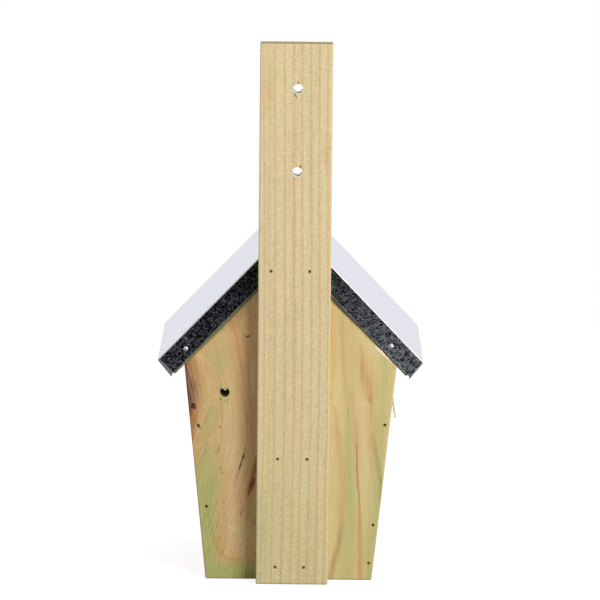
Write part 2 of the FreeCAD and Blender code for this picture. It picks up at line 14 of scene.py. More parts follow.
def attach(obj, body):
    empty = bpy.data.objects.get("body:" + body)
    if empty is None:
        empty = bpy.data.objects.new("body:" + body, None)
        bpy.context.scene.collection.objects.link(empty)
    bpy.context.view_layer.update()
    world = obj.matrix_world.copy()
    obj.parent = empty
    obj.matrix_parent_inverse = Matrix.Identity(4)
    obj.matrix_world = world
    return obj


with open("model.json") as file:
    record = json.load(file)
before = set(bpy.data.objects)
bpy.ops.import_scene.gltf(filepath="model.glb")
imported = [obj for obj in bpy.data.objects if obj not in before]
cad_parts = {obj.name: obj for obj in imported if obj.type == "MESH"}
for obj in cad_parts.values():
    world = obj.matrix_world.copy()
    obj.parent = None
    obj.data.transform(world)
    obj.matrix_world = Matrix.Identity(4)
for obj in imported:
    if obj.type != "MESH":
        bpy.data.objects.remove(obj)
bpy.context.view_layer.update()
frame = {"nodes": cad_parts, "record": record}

LOG = logging.getLogger("nest_box")
MM = 0.001

Pair = tuple[float, float]
Three = tuple[float, float, float]
Colour = Three
Socket = bpy.types.NodeSocket
Number = float | Socket
Triple = Three | Socket


class Grain(Enum):
    """Order in which a board's axes are read: across its broad face, through it, along its fibres."""

    UP = ("X", "Y", "Z")
    UP_SIDE = ("Y", "X", "Z")
    DEEP = ("X", "Z", "Y")
    ACROSS = ("Y", "Z", "X")


class Tone(Enum):
    """Linear colours that mark the pine: treatment salts, resin, knots, torn fibre and green growth, with
    painted shadow under the flanges and in a small pit, and painted light on the walls of drilled holes.
    """

    GREEN = (0.415, 0.420, 0.142)
    DEEP_GREEN = (0.300, 0.310, 0.075)
    OLIVE = (0.305, 0.262, 0.102)
    YELLOW = (0.690, 0.600, 0.270)
    PINK = (0.610, 0.350, 0.165)
    ORANGE = (0.620, 0.315, 0.105)
    RUST = (0.345, 0.135, 0.038)
    PLUM = (0.156, 0.070, 0.053)
    UMBER = (0.055, 0.030, 0.013)
    KNOT = (0.050, 0.018, 0.007)
    PALE = (0.810, 0.700, 0.460)
    # Newly drilled wood, painted paler still as light from the backdrop
    FRESH_AND_LIT = (0.900, 0.850, 0.730)
    # Painted shadow on the back panel along the roof flanges' lower edges
    FLANGE_SHADOW = (0.060, 0.055, 0.012)
    # Painted shade for the dark inside of a small pit, which has no geometry
    PIT_SHADE = (0.006, 0.004, 0.003)


@dataclass(frozen=True)
class Noise:
    """Scale and roughness of a noise.

    Attributes:
        stretch: Frequency along each axis, per millimetre.
        detail: Number of finer octaves.
        rough: Strength of the finer octaves.
        shift: Move of the pattern, by which two noises of one scale differ.
    """

    stretch: Three
    detail: float = 2.0
    rough: float = 0.5
    shift: Three | None = None


@dataclass(frozen=True)
class Wander:
    """How lines leave their straight way.

    Attributes:
        noise: How often they turn.
        reach: How far they go along each axis from side to side, in millimetres.
    """

    noise: Noise
    reach: Three


@dataclass(frozen=True)
class Mark:
    """A stain, knot, crack or torn fibre on a board, drawn from one point to another.

    Attributes:
        tone: Colour of the mark.
        start: One end, across and up the board in millimetres.
        end: The other end.
        half_width: Half the mark's breadth, in millimetres.
        softness: Share of the breadth over which the mark fades out.
        strength: How far the wood takes the tone at the middle.
    """

    tone: Tone
    start: Pair
    end: Pair
    half_width: float
    softness: float
    strength: float


@dataclass(frozen=True)
class Streak:
    """A band that follows the grain down a board, thick and thin along its way.

    Attributes:
        tone: Colour of the band.
        strength: How far the wood takes the tone at the middle.
        path: Points from top to bottom, each across and up the board with the half width there.
        softness: Share of the width over which the band fades out.
        rise: Share of the length over which the band fades in at its top.
    """

    tone: Tone
    strength: float
    path: tuple[Three, ...]
    softness: float = 1.0
    rise: float = 0.0


@dataclass(frozen=True)
class Knot:
    """A branch's foot that the fibres bend round.

    Attributes:
        at: Its middle, across and up the board in millimetres.
        reach: How far out the fibres bend, across and along.
        push: Share by which they open out at the middle.
    """

    at: Pair
    reach: Pair
    push: float


@dataclass(frozen=True)
class Branch:
    """A small grown-in knot that goes right through a board.

    Attributes:
        at: Its middle, across and along the board in millimetres.
        radius: Its radius across the fibres.
        oval: What a millimetre along the fibres counts for.
        spread: How far out the fibres bend, in radii.
        margin: How much further out they bend, in millimetres.
    """

    at: Pair
    radius: float
    oval: float = 0.72
    spread: float = 2.4
    margin: float = 1.5


class Nodes:
    """A node tree, with short calls for the nodes that the finishes and the studio share."""

    def __init__(self, tree: bpy.types.NodeTree) -> None:
        """Take the tree that the nodes go into."""
        self.tree = tree

    def node(self, kind: str, **settings: object) -> bpy.types.Node:
        """Add a node.

        Args:
            kind: Type of the node.
            settings: Its properties, by name.

        Returns:
            The node.
        """
        made = self.tree.nodes.new(kind)
        for name, value in settings.items():
            setattr(made, name, value)
        return made

    def feed(self, socket: Socket, value: object) -> None:
        """Link an input, or write a value on it.

        Args:
            socket: The input.
            value: An output to link, or a number, vector or colour.
        """
        if isinstance(value, bpy.types.NodeSocket):
            self.tree.links.new(value, socket)
        elif isinstance(value, tuple) and socket.type == "RGBA":
            socket.default_value = (*value, 1.0)
        else:
            socket.default_value = value

    def calc(self, operation: str, a: Number, b: Number = 0.0, clamp: bool = False) -> Socket:
        """Work out one Math node.

        Args:
            operation: What the node does.
            a: First number.
            b: Second number.
            clamp: Whether the result stays between 0 and 1.

        Returns:
            The result.
        """
        made = self.node("ShaderNodeMath", operation=operation, use_clamp=clamp)
        self.feed(made.inputs[0], a)
        self.feed(made.inputs[1], b)
        return made.outputs[0]

    def add(self, a: Number, b: Number) -> Socket:
        """Add two numbers."""
        return self.calc("ADD", a, b)

    def minus(self, a: Number, b: Number) -> Socket:
        """Take the second number from the first."""
        return self.calc("SUBTRACT", a, b)

    def times(self, a: Number, b: Number) -> Socket:
        """Multiply two numbers."""
        return self.calc("MULTIPLY", a, b)

    def bell(self, square: Number) -> Socket:
        """Give 1 where a square is 0, falling off as a bell curve does."""
        return self.calc("POWER", math.e, self.times(square, -1.0))

    def vector(self, operation: str, a: Triple, b: Triple = (0.0, 0.0, 0.0), scale: Number = 1.0) -> Socket:
        """Work out one Vector Math node.

        Args:
            operation: What the node does.
            a: First vector.
            b: Second vector.
            scale: Factor of the scaling operation.

        Returns:
            The vector, or the number where the operation gives one.
        """
        made = self.node("ShaderNodeVectorMath", operation=operation)
        self.feed(made.inputs[0], a)
        self.feed(made.inputs[1], b)
        if operation == "SCALE":
            self.feed(made.inputs["Scale"], scale)
        gives_number = operation in ("LENGTH", "DOT_PRODUCT")
        return made.outputs["Value" if gives_number else "Vector"]

    def split(self, vector: Socket) -> tuple[Socket, Socket, Socket]:
        """Separate a vector.

        Args:
            vector: The vector.

        Returns:
            Its three numbers.
        """
        made = self.node("ShaderNodeSeparateXYZ")
        self.feed(made.inputs[0], vector)
        return made.outputs[0], made.outputs[1], made.outputs[2]

    def join(self, x: Number, y: Number, z: Number) -> Socket:
        """Combine three numbers.

        Args:
            x: First number.
            y: Second number.
            z: Third number.

        Returns:
            The vector.
        """
        made = self.node("ShaderNodeCombineXYZ")
        for socket, value in zip(made.inputs, (x, y, z)):
            self.feed(socket, value)
        return made.outputs[0]

    def fade(
        self, value: Number, low: float, high: float, start: float = 0.0, end: float = 1.0,
        smooth: bool = True,
    ) -> Socket:
        """Carry a value from one level to another.

        Args:
            value: What is read.
            low: Reading at which the start level ends.
            high: Reading from which the end level holds.
            start: Level at the low reading.
            end: Level at the high reading.
            smooth: Whether the way between them is eased at both ends.

        Returns:
            The level.
        """
        made = self.node("ShaderNodeMapRange", interpolation_type="SMOOTHSTEP" if smooth else "LINEAR")
        readings = {"Value": value, "From Min": low, "From Max": high, "To Min": start, "To Max": end}
        for name, given in readings.items():
            self.feed(made.inputs[name], given)
        return made.outputs[0]


class Recipe(Nodes):
    """Node tree of one finish, with the patterns that the finishes are made of.

    Attributes:
        turn: Slant of the planer's chatter in degrees.
        room: Space beside a streak's path, in millimetres, which gives an upright one a range.
        least: Least half width of a streak.
        spill: Share of a mark's softness that lies outside its edge.
        depth: How deep a mark goes, in half widths.
        least_depth: How deep it goes at least, in millimetres.
    """

    turn: float = 32.0
    room: float = 0.5
    least: float = 0.02
    spill: float = 0.3
    depth: float = 2.0
    least_depth: float = 6.0

    def __init__(self, name: str) -> None:
        """Start a material with its shader, its facing and its place in millimetres.

        Args:
            name: Name of the material.
        """
        self.material = bpy.data.materials.new(name)
        self.material.use_nodes = True
        super().__init__(self.material.node_tree)
        self.tree.nodes.clear()
        output = self.node("ShaderNodeOutputMaterial")
        self.shader = self.node("ShaderNodeBsdfPrincipled")
        self.feed(output.inputs["Surface"], self.shader.outputs["BSDF"])
        place = self.node("ShaderNodeTexCoord")
        self.facing = place.outputs["Normal"]
        self.point = self.vector("SCALE", place.outputs["Object"], scale=1.0 / MM)

    def noise(self, point: Socket, kind: Noise) -> bpy.types.Node:
        """Add a noise.

        Args:
            point: Place in millimetres.
            kind: Scale of the noise.

        Returns:
            The noise's node.
        """
        if kind.shift:
            point = self.vector("ADD", point, kind.shift)
        made = self.node("ShaderNodeTexNoise", noise_dimensions="3D")
        self.feed(made.inputs["Vector"], self.vector("MULTIPLY", point, kind.stretch))
        self.feed(made.inputs["Scale"], 1.0)
        self.feed(made.inputs["Detail"], kind.detail)
        self.feed(made.inputs["Roughness"], kind.rough)
        return made

    def grey(self, point: Socket, kind: Noise) -> Socket:
        """Give a noise as one number about 0.5."""
        return self.noise(point, kind).outputs["Fac"]

    def stray(self, point: Socket, wander: Wander) -> Socket:
        """Move points about by a noise.

        Args:
            point: Place in millimetres.
            wander: How often and how far they move.

        Returns:
            The moved place.
        """
        colour = self.noise(point, wander.noise).outputs["Color"]
        offset = self.vector("SUBTRACT", colour, (0.5, 0.5, 0.5))
        return self.vector("ADD", point, self.vector("MULTIPLY", offset, wander.reach))

    def slant(self, point: Socket) -> Socket:
        """Turn a pattern a little, as the planer's chatter lies across the fibres.

        Args:
            point: Place in millimetres.

        Returns:
            The turned place.
        """
        made = self.node("ShaderNodeMapping", vector_type="POINT")
        self.feed(made.inputs["Vector"], point)
        made.inputs["Rotation"].default_value = (0.0, math.radians(self.turn), 0.0)
        return made.outputs[0]

    def framed(self, point: Socket, middle: Three, turn: float, unit: Three) -> Socket:
        """Read places in a frame of their own.

        Args:
            point: Place in millimetres.
            middle: Origin of that frame.
            turn: Its turn about Y, in radians.
            unit: What counts as 1 along each of its axes.

        Returns:
            The place in that frame.
        """
        made = self.node("ShaderNodeMapping", vector_type="TEXTURE")
        self.feed(made.inputs["Vector"], point)
        made.inputs["Location"].default_value = middle
        made.inputs["Rotation"].default_value = (0.0, turn, 0.0)
        made.inputs["Scale"].default_value = unit
        return made.outputs[0]

    def mix(self, share: Number, a: Triple, b: Triple) -> Socket:
        """Blend two colours.

        Args:
            share: Share of the second colour, from 0 to 1.
            a: First colour.
            b: Second colour.

        Returns:
            The blend.
        """
        made = self.node("ShaderNodeMix", data_type="RGBA")
        self.feed(made.inputs[0], share)
        self.feed(made.inputs[6], a)
        self.feed(made.inputs[7], b)
        return made.outputs[2]

    def ramp(self, share: Socket, stops: list[Pair]) -> Socket:
        """Read a number off a line of stops.

        Args:
            share: Place on the line, from 0 to 1.
            stops: Places with their levels.

        Returns:
            The level.
        """
        made = self.node("ShaderNodeValToRGB")
        band = made.color_ramp.elements
        band.remove(band[1])
        for number, (place, level) in enumerate(sorted(stops)):
            element = band.new(place) if number else band[0]
            element.position = place
            element.color = (level, level, level, 1.0)
        self.feed(made.inputs[0], share)
        return made.outputs[0]

    def curve(self, value: Socket, points: list[Pair]) -> Socket:
        """Read a number off a smooth curve.

        Args:
            value: Place along the curve, from 0 to 1.
            points: Points that the curve goes through, from 0 to 1 both ways.

        Returns:
            The curve's height.
        """
        made = self.node("ShaderNodeFloatCurve")
        self.feed(made.inputs["Value"], value)
        line = made.mapping.curves[0].points
        line[0].location = points[0]
        line[-1].location = points[-1]
        for place, level in points[1:-1]:
            line.new(place, level)
        made.mapping.update()
        return made.outputs[0]

    def edge(self, away: Socket, softness: float, strength: float) -> Socket:
        """Fade a mark out about its edge, which lies 1 away from its middle."""
        return self.fade(away, 1.0 - softness, 1.0 + self.spill * softness, strength, 0.0)

    def trail(self, across: Socket, up: Socket, streak: Streak) -> Socket:
        """Give the share of a streak at each point of its board.

        Args:
            across: Place across the board in millimetres.
            up: Place up the board.
            streak: The band to draw.

        Returns:
            The streak's strength inside it, 0 outside.
        """
        middles, heights, widths = zip(*streak.path)
        top, foot = heights[0], heights[-1]
        left, right = min(middles) - self.room, max(middles) + self.room
        widest = max(widths)
        down = self.fade(up, top, foot, smooth=False)
        places = [(top - height) / (top - foot) for height in heights]
        middle = self.curve(down, [(at, (x - left) / (right - left)) for at, x in zip(places, middles)])
        middle = self.add(self.times(middle, right - left), left)
        width = self.curve(down, [(at, half / widest) for at, half in zip(places, widths)])
        width = self.calc("MAXIMUM", self.times(width, widest), self.least)
        away = self.calc("DIVIDE", self.calc("ABSOLUTE", self.minus(across, middle)), width)
        share = self.edge(away, streak.softness, streak.strength)
        if streak.rise:
            share = self.times(share, self.fade(down, 0.0, streak.rise))
        return share

    def spot(self, point: Socket, mark: Mark, face: float) -> Socket:
        """Give the share of a mark at each point of its board.

        Args:
            point: Place on the board in millimetres.
            mark: The mark to draw.
            face: Height of the board's marked face along Y.

        Returns:
            The mark's strength inside it, 0 outside.
        """
        across, up = mark.end[0] - mark.start[0], mark.end[1] - mark.start[1]
        middle = ((mark.start[0] + mark.end[0]) / 2.0, face, (mark.start[1] + mark.end[1]) / 2.0)
        deep = max(mark.half_width * self.depth, self.least_depth)
        reach = math.hypot(across, up) / 2.0 + mark.half_width
        place = self.framed(point, middle, math.atan2(across, up), (mark.half_width, deep, reach))
        return self.edge(self.vector("LENGTH", place), mark.softness, mark.strength)

    def finish(
        self, colour: Triple, rough: Number, height: Socket, depth: float, normal: Socket | None = None,
    ) -> bpy.types.Material:
        """Set the shader's colour, roughness and relief.

        Args:
            colour: Base colour.
            rough: Roughness.
            height: Relief from 0 to 1.
            depth: Depth of the relief in millimetres.
            normal: Facing that the relief starts from, where it isn't the surface's own.

        Returns:
            The finished material.
        """
        self.feed(self.shader.inputs["Base Color"], colour)
        self.feed(self.shader.inputs["Roughness"], rough)
        bump = self.node("ShaderNodeBump")
        self.feed(bump.inputs["Height"], height)
        bump.inputs["Distance"].default_value = depth * MM
        if normal is not None:
            self.feed(bump.inputs["Normal"], normal)
        self.feed(self.shader.inputs["Normal"], bump.outputs[0])
        return self.material


# Noises of the pine, their axes across, through and along the fibres
COARSE_FIBRE = Noise((0.55, 0.55, 0.011), 3.0, 0.55)
FINE_FIBRE = Noise((2.2, 2.2, 0.08), 3.0, 0.6)
PLANED_WOOL = Noise((1.5, 1.5, 0.8), 3.0, 0.75)
GREEN_PATCH = Noise((0.07, 0.07, 0.006))
BLUSH_BAND = Noise((0.14, 0.14, 0.006), shift=(91.0, 37.0, 11.0))
BROWN_FLECK = Noise((1.7, 1.7, 0.13), 1.0, shift=(17.0, 5.0, 23.0))
FLECK_CROWD = Noise((0.09, 0.09, 0.02), 1.0)
RAGGED_RIM = Noise((0.8, 0.8, 0.4))
RING_BREADTH = Noise((0.11, 1.0, 1.0), 1.0)
RING_VIGOUR = Noise((0.8, 1.0, 1.0), 0.0)
RING_WANDER = Wander(Noise((0.03, 0.03, 0.006), 3.0), (7.0, 7.0, 0.0))
LINE_WANDER = Wander(Noise((0.05, 0.05, 0.010), 3.0), (1.3, 1.0, 0.0))
MARK_FRAY = Wander(Noise((0.5, 0.5, 0.12), 3.0), (1.3, 0.0, 1.6))

# Growth rings: a year's darkness from spring to winter, how uneven the years are and how faint one may be
RING_YEAR = [(0.0, 0.0), (0.35, 0.02), (0.72, 0.4), (0.9, 1.0), (0.97, 0.75), (1.0, 0.0)]
RING_UNEVEN = 1.6
VIGOUR_SEED = 3.0
LEAST_VIGOUR = 0.45

# A quarter-sawn board: a ring line's darkness about its place in mm, the lines' bow along the board and its
# width, and their slant under the face
LINE_EDGES = ((-0.8, 0.0), (0.1, 1.0), (1.5, 0.0))
LINE_BOW = [(0.0, 0.25), (0.2, 0.75), (0.39, 1.0), (0.6, 0.72), (1.0, 0.0)]
LINE_BOW_WIDTH = 2.0
LINE_DIVE = 0.35

# Swaying fibres: height of their narrowest place, its ease, and where across the board they start to lean
WAIST_HEIGHT = 95.0
WAIST_EASE = 20.0
SWAY_SPAN = (2.0, 24.0)

# Knots, in mm: a depth that no board has, a way at which none is near, the fibres' push and the ragged rim
THROUGH = 1000.0
NO_KNOT_NEAR = 99.0
KNOT_PUSH = 0.85
RIM_RAGGED = 2.4

# Grown-in knots: their own rings, the breadths in mm of bark, edge and resin, and how strongly each shows
KNOT_TURNS = 5.5
KNOT_TURN_RANGE = (-0.6, 1.0)
KNOT_BARK = (-0.9, -0.1)
KNOT_EDGE = (-0.2, 0.5)
KNOT_HALO = (0.0, 5.0)
TURN_SHARE = 0.45
BARK_SHARE = 0.85
HALO_SHARE = 0.45
HEART_SHARE = 0.95

# Readings between which the wood changes, of the noises and of how far a face looks along the fibres
MIDDLING = (0.3, 0.7)
TOOTH_RANGE = (0.28, 0.72)
GREEN_RANGE = (0.42, 0.68)
BLUSH_RANGE = (0.5, 0.72)
FLECK_RANGE = (0.60, 0.76)
CROWD_RANGE = (0.36, 0.64)
LEAST_CROWD = 0.15
END_FACING = (0.55, 0.95)

# Streaks and marks: how unevenly the fibres take them, their dive under the face and a broad one's half width
STREAKY = (0.6, 1.2)
STREAK_DIVE = 1.4
BROAD_MARK = 2.0

# End grain, rims of the drilled holes in mm, whose walls are painted pale as lit, and the planed surface's
# gloss and relief
END_SHARE = 0.9
BORE_RIM = (0.05, 0.35)
FRESH_AND_LIT_SHARE = 0.95
WOOD_ROUGH = (0.60, 0.74)
RING_POLISH = -0.06
FINE_RELIEF = 0.6
RING_RELIEF = 0.35
WOOL_RELIEF = 0.25
WOOD_RELIEF = 0.12
WOOD_SPECULAR = 0.35


@dataclass
class Timber:
    """What the parts of one board's finish share, as sockets of its node tree.

    Attributes:
        recipe: Node tree of the finish.
        axes: Place on the board in millimetres, by axis.
        flow: Place that each point would have in straight wood, fibres along its last axis.
        line: 1 on a ring line, 0 between them.
        grip: What is left of the wood's own pattern, from the calm side of the board to the other.
        coarse: Coarse fibres, about 0.5.
        fine: Fine fibres.
        wool: Fibres that the planer raised.
    """

    recipe: Recipe
    axes: dict[str, Socket]
    flow: Socket
    line: Socket
    grip: Socket
    coarse: Socket
    fine: Socket
    wool: Socket


@dataclass(frozen=True)
class Pine:
    """Planed, green-treated pine of one board, with growth rings that run through its solid.

    Attributes:
        name: Name of the material.
        early: Colour of the spring wood.
        late: Colour of the summer wood's ring lines.
        grain: Axis that the fibres run along.
        pith: Place of the pith across the grain, in millimetres.
        lean: Drift of the pith per millimetre along the grain.
        ring: Mean breadth of a growth ring in millimetres.
        contrast: Strength of the ring lines.
        green: Share of green treatment in the patches that took it.
        blush: Share of pink in the bands of heartwood.
        far: Colour of the spring wood at the board's other side.
        span: Places across the board between which the colour goes from early to far.
        lines: Places of the ring lines across a board sawn on the quarter, with their strengths.
        length: Length of the board along the fibres, over which those lines bow.
        end: What the end grain keeps of the colour.
        tooth: Strength of the coarse fibres, the fine fibres and the planed wool.
        fleck: Strength of the short brown fibres.
        calm: What is left of the rings, blush, fibres and flecks at the low end of the span.
        skin: Depths under the marked face between which its streaks fade.
        sway: How far the fibres lean apart above and below their narrowest place, on the +X half.
        bores: Places of the drilled holes, across and up the board, whose walls are newly drilled wood
            painted paler still as light.
        bore_radius: Radius of those holes in millimetres.
        knots: Branches that the fibres bend round.
        branches: Small knots that go right through the board.
        marks: What has marked the board's outer face.
        streaks: Bands that follow its grain.
        face: Height of that face along Y.
    """

    name: str
    early: Colour
    late: Colour
    grain: Grain = Grain.UP
    pith: Pair = (0.0, 60.0)
    lean: Pair = (0.0, 0.0)
    ring: float = 4.0
    contrast: float = 0.6
    green: float = 0.3
    blush: float = 0.35
    far: Colour | None = None
    span: Pair = (-1.0, 1.0)
    lines: tuple[Pair, ...] = ()
    length: float = 340.0
    end: Colour = (0.45, 0.47, 0.42)
    tooth: Three = (0.035, 0.05, 0.06)
    fleck: float = 0.3
    calm: float = 1.0
    skin: Pair = (1.5, 9.0)
    sway: float = 0.0
    bores: tuple[Pair, ...] = ()
    bore_radius: float = 3.0
    knots: tuple[Knot, ...] = ()
    branches: tuple[Branch, ...] = ()
    marks: tuple[Mark, ...] = ()
    streaks: tuple[Streak, ...] = ()
    face: float = 0.0

    def bent(self, recipe: Recipe, point: Socket) -> Socket:
        """Let the fibres sway, and bend them round the branches' feet.

        Args:
            recipe: Node tree of the finish.
            point: Place on the board, fibres along its last axis.

        Returns:
            The place that each point would have in straight wood.
        """
        if self.sway:
            across, _, along = recipe.split(point)
            rise = recipe.minus(along, WAIST_HEIGHT)
            rise = recipe.calc("SQRT", recipe.add(recipe.times(rise, rise), WAIST_EASE**2))
            lean = recipe.times(rise, recipe.fade(across, *SWAY_SPAN, 0.0, -self.sway))
            point = recipe.vector("ADD", point, recipe.join(lean, 0.0, 0.0))
        for knot in self.knots:
            across, along = knot.at
            unit = (knot.reach[0], THROUGH, knot.reach[1])
            place = recipe.framed(point, (across, 0.0, along), 0.0, unit)
            near = recipe.bell(recipe.vector("DOT_PRODUCT", place, place))
            offset = recipe.vector("SUBTRACT", point, (across, 0.0, 0.0))
            offset = recipe.vector("MULTIPLY", offset, (-knot.push, 0.0, 0.0))
            point = recipe.vector("ADD", point, recipe.vector("SCALE", offset, scale=near))
        return point

    def parted(self, recipe: Recipe, point: Socket) -> tuple[Socket, Socket]:
        """Part the fibres round the small knots that go through the board.

        Args:
            recipe: Node tree of the finish.
            point: Place on the board, fibres along its last axis.

        Returns:
            The place that each point would have in straight wood, and its way to the next knot's rim in mm.
        """
        across, _, along = recipe.split(point)
        rim: Number = NO_KNOT_NEAR
        bend: Number = 0.0
        for knot in self.branches:
            aside = recipe.minus(across, knot.at[0])
            above = recipe.times(recipe.minus(along, knot.at[1]), knot.oval)
            away = recipe.vector("LENGTH", recipe.join(aside, above, 0.0))
            rim = recipe.calc("MINIMUM", rim, recipe.minus(away, knot.radius))
            near = recipe.calc("DIVIDE", away, knot.spread * knot.radius + knot.margin)
            near = recipe.bell(recipe.times(near, near))
            bend = recipe.add(bend, recipe.times(aside, near))
        shift = recipe.join(recipe.times(bend, -KNOT_PUSH), 0.0, 0.0)
        ragged = recipe.times(recipe.minus(recipe.grey(point, RAGGED_RIM), 0.5), RIM_RAGGED)
        return recipe.vector("ADD", point, shift), recipe.add(rim, ragged)

    def rings(self, recipe: Recipe, flow: Socket) -> Socket:
        """Draw the ring lines round the pith.

        Args:
            recipe: Node tree of the finish.
            flow: Place in straight wood.

        Returns:
            1 on a ring line, 0 between them.
        """
        strayed = recipe.stray(flow, RING_WANDER)
        along = recipe.split(flow)[2]
        drift = recipe.join(*(recipe.times(along, lean) for lean in self.lean), along)
        centred = recipe.vector("SUBTRACT", strayed, drift)
        centred = recipe.vector("SUBTRACT", centred, (*self.pith, 0.0))
        radius = recipe.vector("LENGTH", recipe.vector("MULTIPLY", centred, (1.0, 1.0, 0.0)))
        uneven = recipe.times(recipe.grey(recipe.join(radius, 0.0, 0.0), RING_BREADTH), RING_UNEVEN)
        count = recipe.add(recipe.calc("DIVIDE", radius, self.ring), uneven)
        line = recipe.ramp(recipe.calc("FRACT", count), RING_YEAR)
        vigour = recipe.grey(recipe.join(count, VIGOUR_SEED, 0.0), RING_VIGOUR)
        return recipe.times(line, recipe.fade(vigour, *MIDDLING, LEAST_VIGOUR, 1.0))

    def quarter_lines(self, recipe: Recipe, flow: Socket) -> Socket:
        """Draw upright ring lines at their own places across the board.

        Args:
            recipe: Node tree of the finish.
            flow: Place in straight wood.

        Returns:
            1 on a ring line, 0 between them.
        """
        across, deep, along = recipe.split(recipe.stray(flow, LINE_WANDER))
        bow = recipe.curve(recipe.calc("DIVIDE", along, self.length), LINE_BOW)
        level = recipe.add(across, recipe.times(bow, LINE_BOW_WIDTH))
        level = recipe.add(level, recipe.times(recipe.minus(deep, self.face), LINE_DIVE))
        low, high = self.span
        stops = [
            ((place + offset - low) / (high - low), part * strength)
            for place, strength in self.lines for offset, part in LINE_EDGES
        ]
        return recipe.ramp(recipe.fade(level, low, high, smooth=False), stops)

    def sawn(self, timber: Timber) -> Socket:
        """Colour the wood itself: spring wood, ring lines, treatment and heartwood.

        Args:
            timber: What the board's finish is made on.

        Returns:
            The colour.
        """
        recipe = timber.recipe
        spring: Triple = self.early
        if self.far:
            spring = recipe.mix(recipe.fade(timber.axes["X"], *self.span), self.early, self.far)
        share = recipe.times(recipe.times(timber.line, self.contrast), timber.grip)
        colour = recipe.mix(share, spring, self.late)
        patch = recipe.grey(timber.flow, GREEN_PATCH)
        colour = recipe.mix(recipe.fade(patch, *GREEN_RANGE, 0.0, self.green), colour, Tone.GREEN.value)
        blush = recipe.fade(recipe.grey(timber.flow, BLUSH_BAND), *BLUSH_RANGE, 0.0, self.blush)
        return recipe.mix(recipe.times(blush, timber.grip), colour, Tone.PINK.value)

    def painted(self, timber: Timber, colour: Socket) -> Socket:
        """Lay the streaks and marks on the board's outer face.

        Args:
            timber: What the board's finish is made on.
            colour: The wood's colour.

        Returns:
            The marked colour.
        """
        recipe = timber.recipe
        frayed = recipe.stray(recipe.point, MARK_FRAY)
        across, _, up = recipe.split(frayed)
        deep = recipe.calc("ABSOLUTE", recipe.minus(timber.axes["Y"], self.face))
        streaky = recipe.fade(timber.coarse, *MIDDLING, *STREAKY)
        streaky = recipe.times(streaky, recipe.fade(deep, *self.skin, 1.0, 0.0))
        up = recipe.minus(up, recipe.times(deep, STREAK_DIVE))
        for band in self.streaks:
            share = recipe.calc("MULTIPLY", recipe.trail(across, up, band), streaky, clamp=True)
            colour = recipe.mix(share, colour, band.tone.value)
        for mark in self.marks:
            share = recipe.spot(frayed, mark, self.face)
            if mark.half_width > BROAD_MARK:
                share = recipe.calc("MULTIPLY", share, streaky, clamp=True)
            colour = recipe.mix(share, colour, mark.tone.value)
        return colour

    def grown_in(self, timber: Timber, rim: Socket, colour: Socket) -> Socket:
        """Colour the small knots and the resin round them.

        Args:
            timber: What the board's finish is made on.
            rim: Way to the next knot's rim.
            colour: The wood's colour.

        Returns:
            The colour with its knots.
        """
        recipe = timber.recipe
        turns = recipe.calc("SINE", recipe.times(rim, KNOT_TURNS))
        share = recipe.fade(turns, *KNOT_TURN_RANGE, 0.0, TURN_SHARE)
        heart = recipe.mix(share, Tone.RUST.value, Tone.UMBER.value)
        heart = recipe.mix(recipe.fade(rim, *KNOT_BARK, 0.0, BARK_SHARE), heart, Tone.KNOT.value)
        colour = recipe.mix(recipe.fade(rim, *KNOT_HALO, HALO_SHARE, 0.0), colour, Tone.ORANGE.value)
        return recipe.mix(recipe.fade(rim, *KNOT_EDGE, HEART_SHARE, 0.0), colour, heart)

    def planed(self, timber: Timber, colour: Socket) -> Socket:
        """Add the brown flecks, the fibres' light and shade and the dark end grain.

        Args:
            timber: What the board's finish is made on.
            colour: The marked colour.

        Returns:
            The planed board's colour.
        """
        recipe = timber.recipe
        fleck = recipe.fade(recipe.grey(timber.flow, BROWN_FLECK), *FLECK_RANGE, 0.0, self.fleck)
        crowd = recipe.fade(recipe.grey(timber.flow, FLECK_CROWD), *CROWD_RANGE, LEAST_CROWD, 1.0)
        share = recipe.times(recipe.times(fleck, crowd), timber.grip)
        colour = recipe.mix(share, colour, Tone.RUST.value)
        shade: Number = 0.0
        for fibres, part in zip((timber.coarse, timber.fine, timber.wool), self.tooth):
            shade = recipe.add(recipe.fade(fibres, *TOOTH_RANGE, -part, part), shade)
        shade = recipe.add(recipe.times(shade, timber.grip), 1.0)
        colour = recipe.vector("SCALE", colour, scale=shade)
        facing = recipe.split(recipe.vector("ABSOLUTE", recipe.facing))
        end = recipe.fade(facing["XYZ".index(self.grain.value[2])], *END_FACING)
        dark = recipe.vector("MULTIPLY", colour, self.end)
        return recipe.mix(recipe.times(end, END_SHARE), colour, dark)

    def drilled(self, timber: Timber, colour: Socket) -> Socket:
        """Paint the walls of the drilled holes pale, as newly drilled wood and as painted light from the
        backdrop.

        Args:
            timber: What the board's finish is made on.
            colour: The planed board's colour.

        Returns:
            The colour with its holes.
        """
        recipe = timber.recipe
        inner, outer = (self.bore_radius + rim for rim in BORE_RIM)
        for across, up in self.bores:
            offset = recipe.vector("SUBTRACT", recipe.point, (across, 0.0, up))
            away = recipe.vector("LENGTH", recipe.vector("MULTIPLY", offset, (1.0, 0.0, 1.0)))
            # Painted light: the holes' walls are paler than new wood alone would be
            pale_wall = recipe.fade(away, inner, outer, FRESH_AND_LIT_SHARE, 0.0)
            colour = recipe.mix(pale_wall, colour, Tone.FRESH_AND_LIT.value)
        return colour

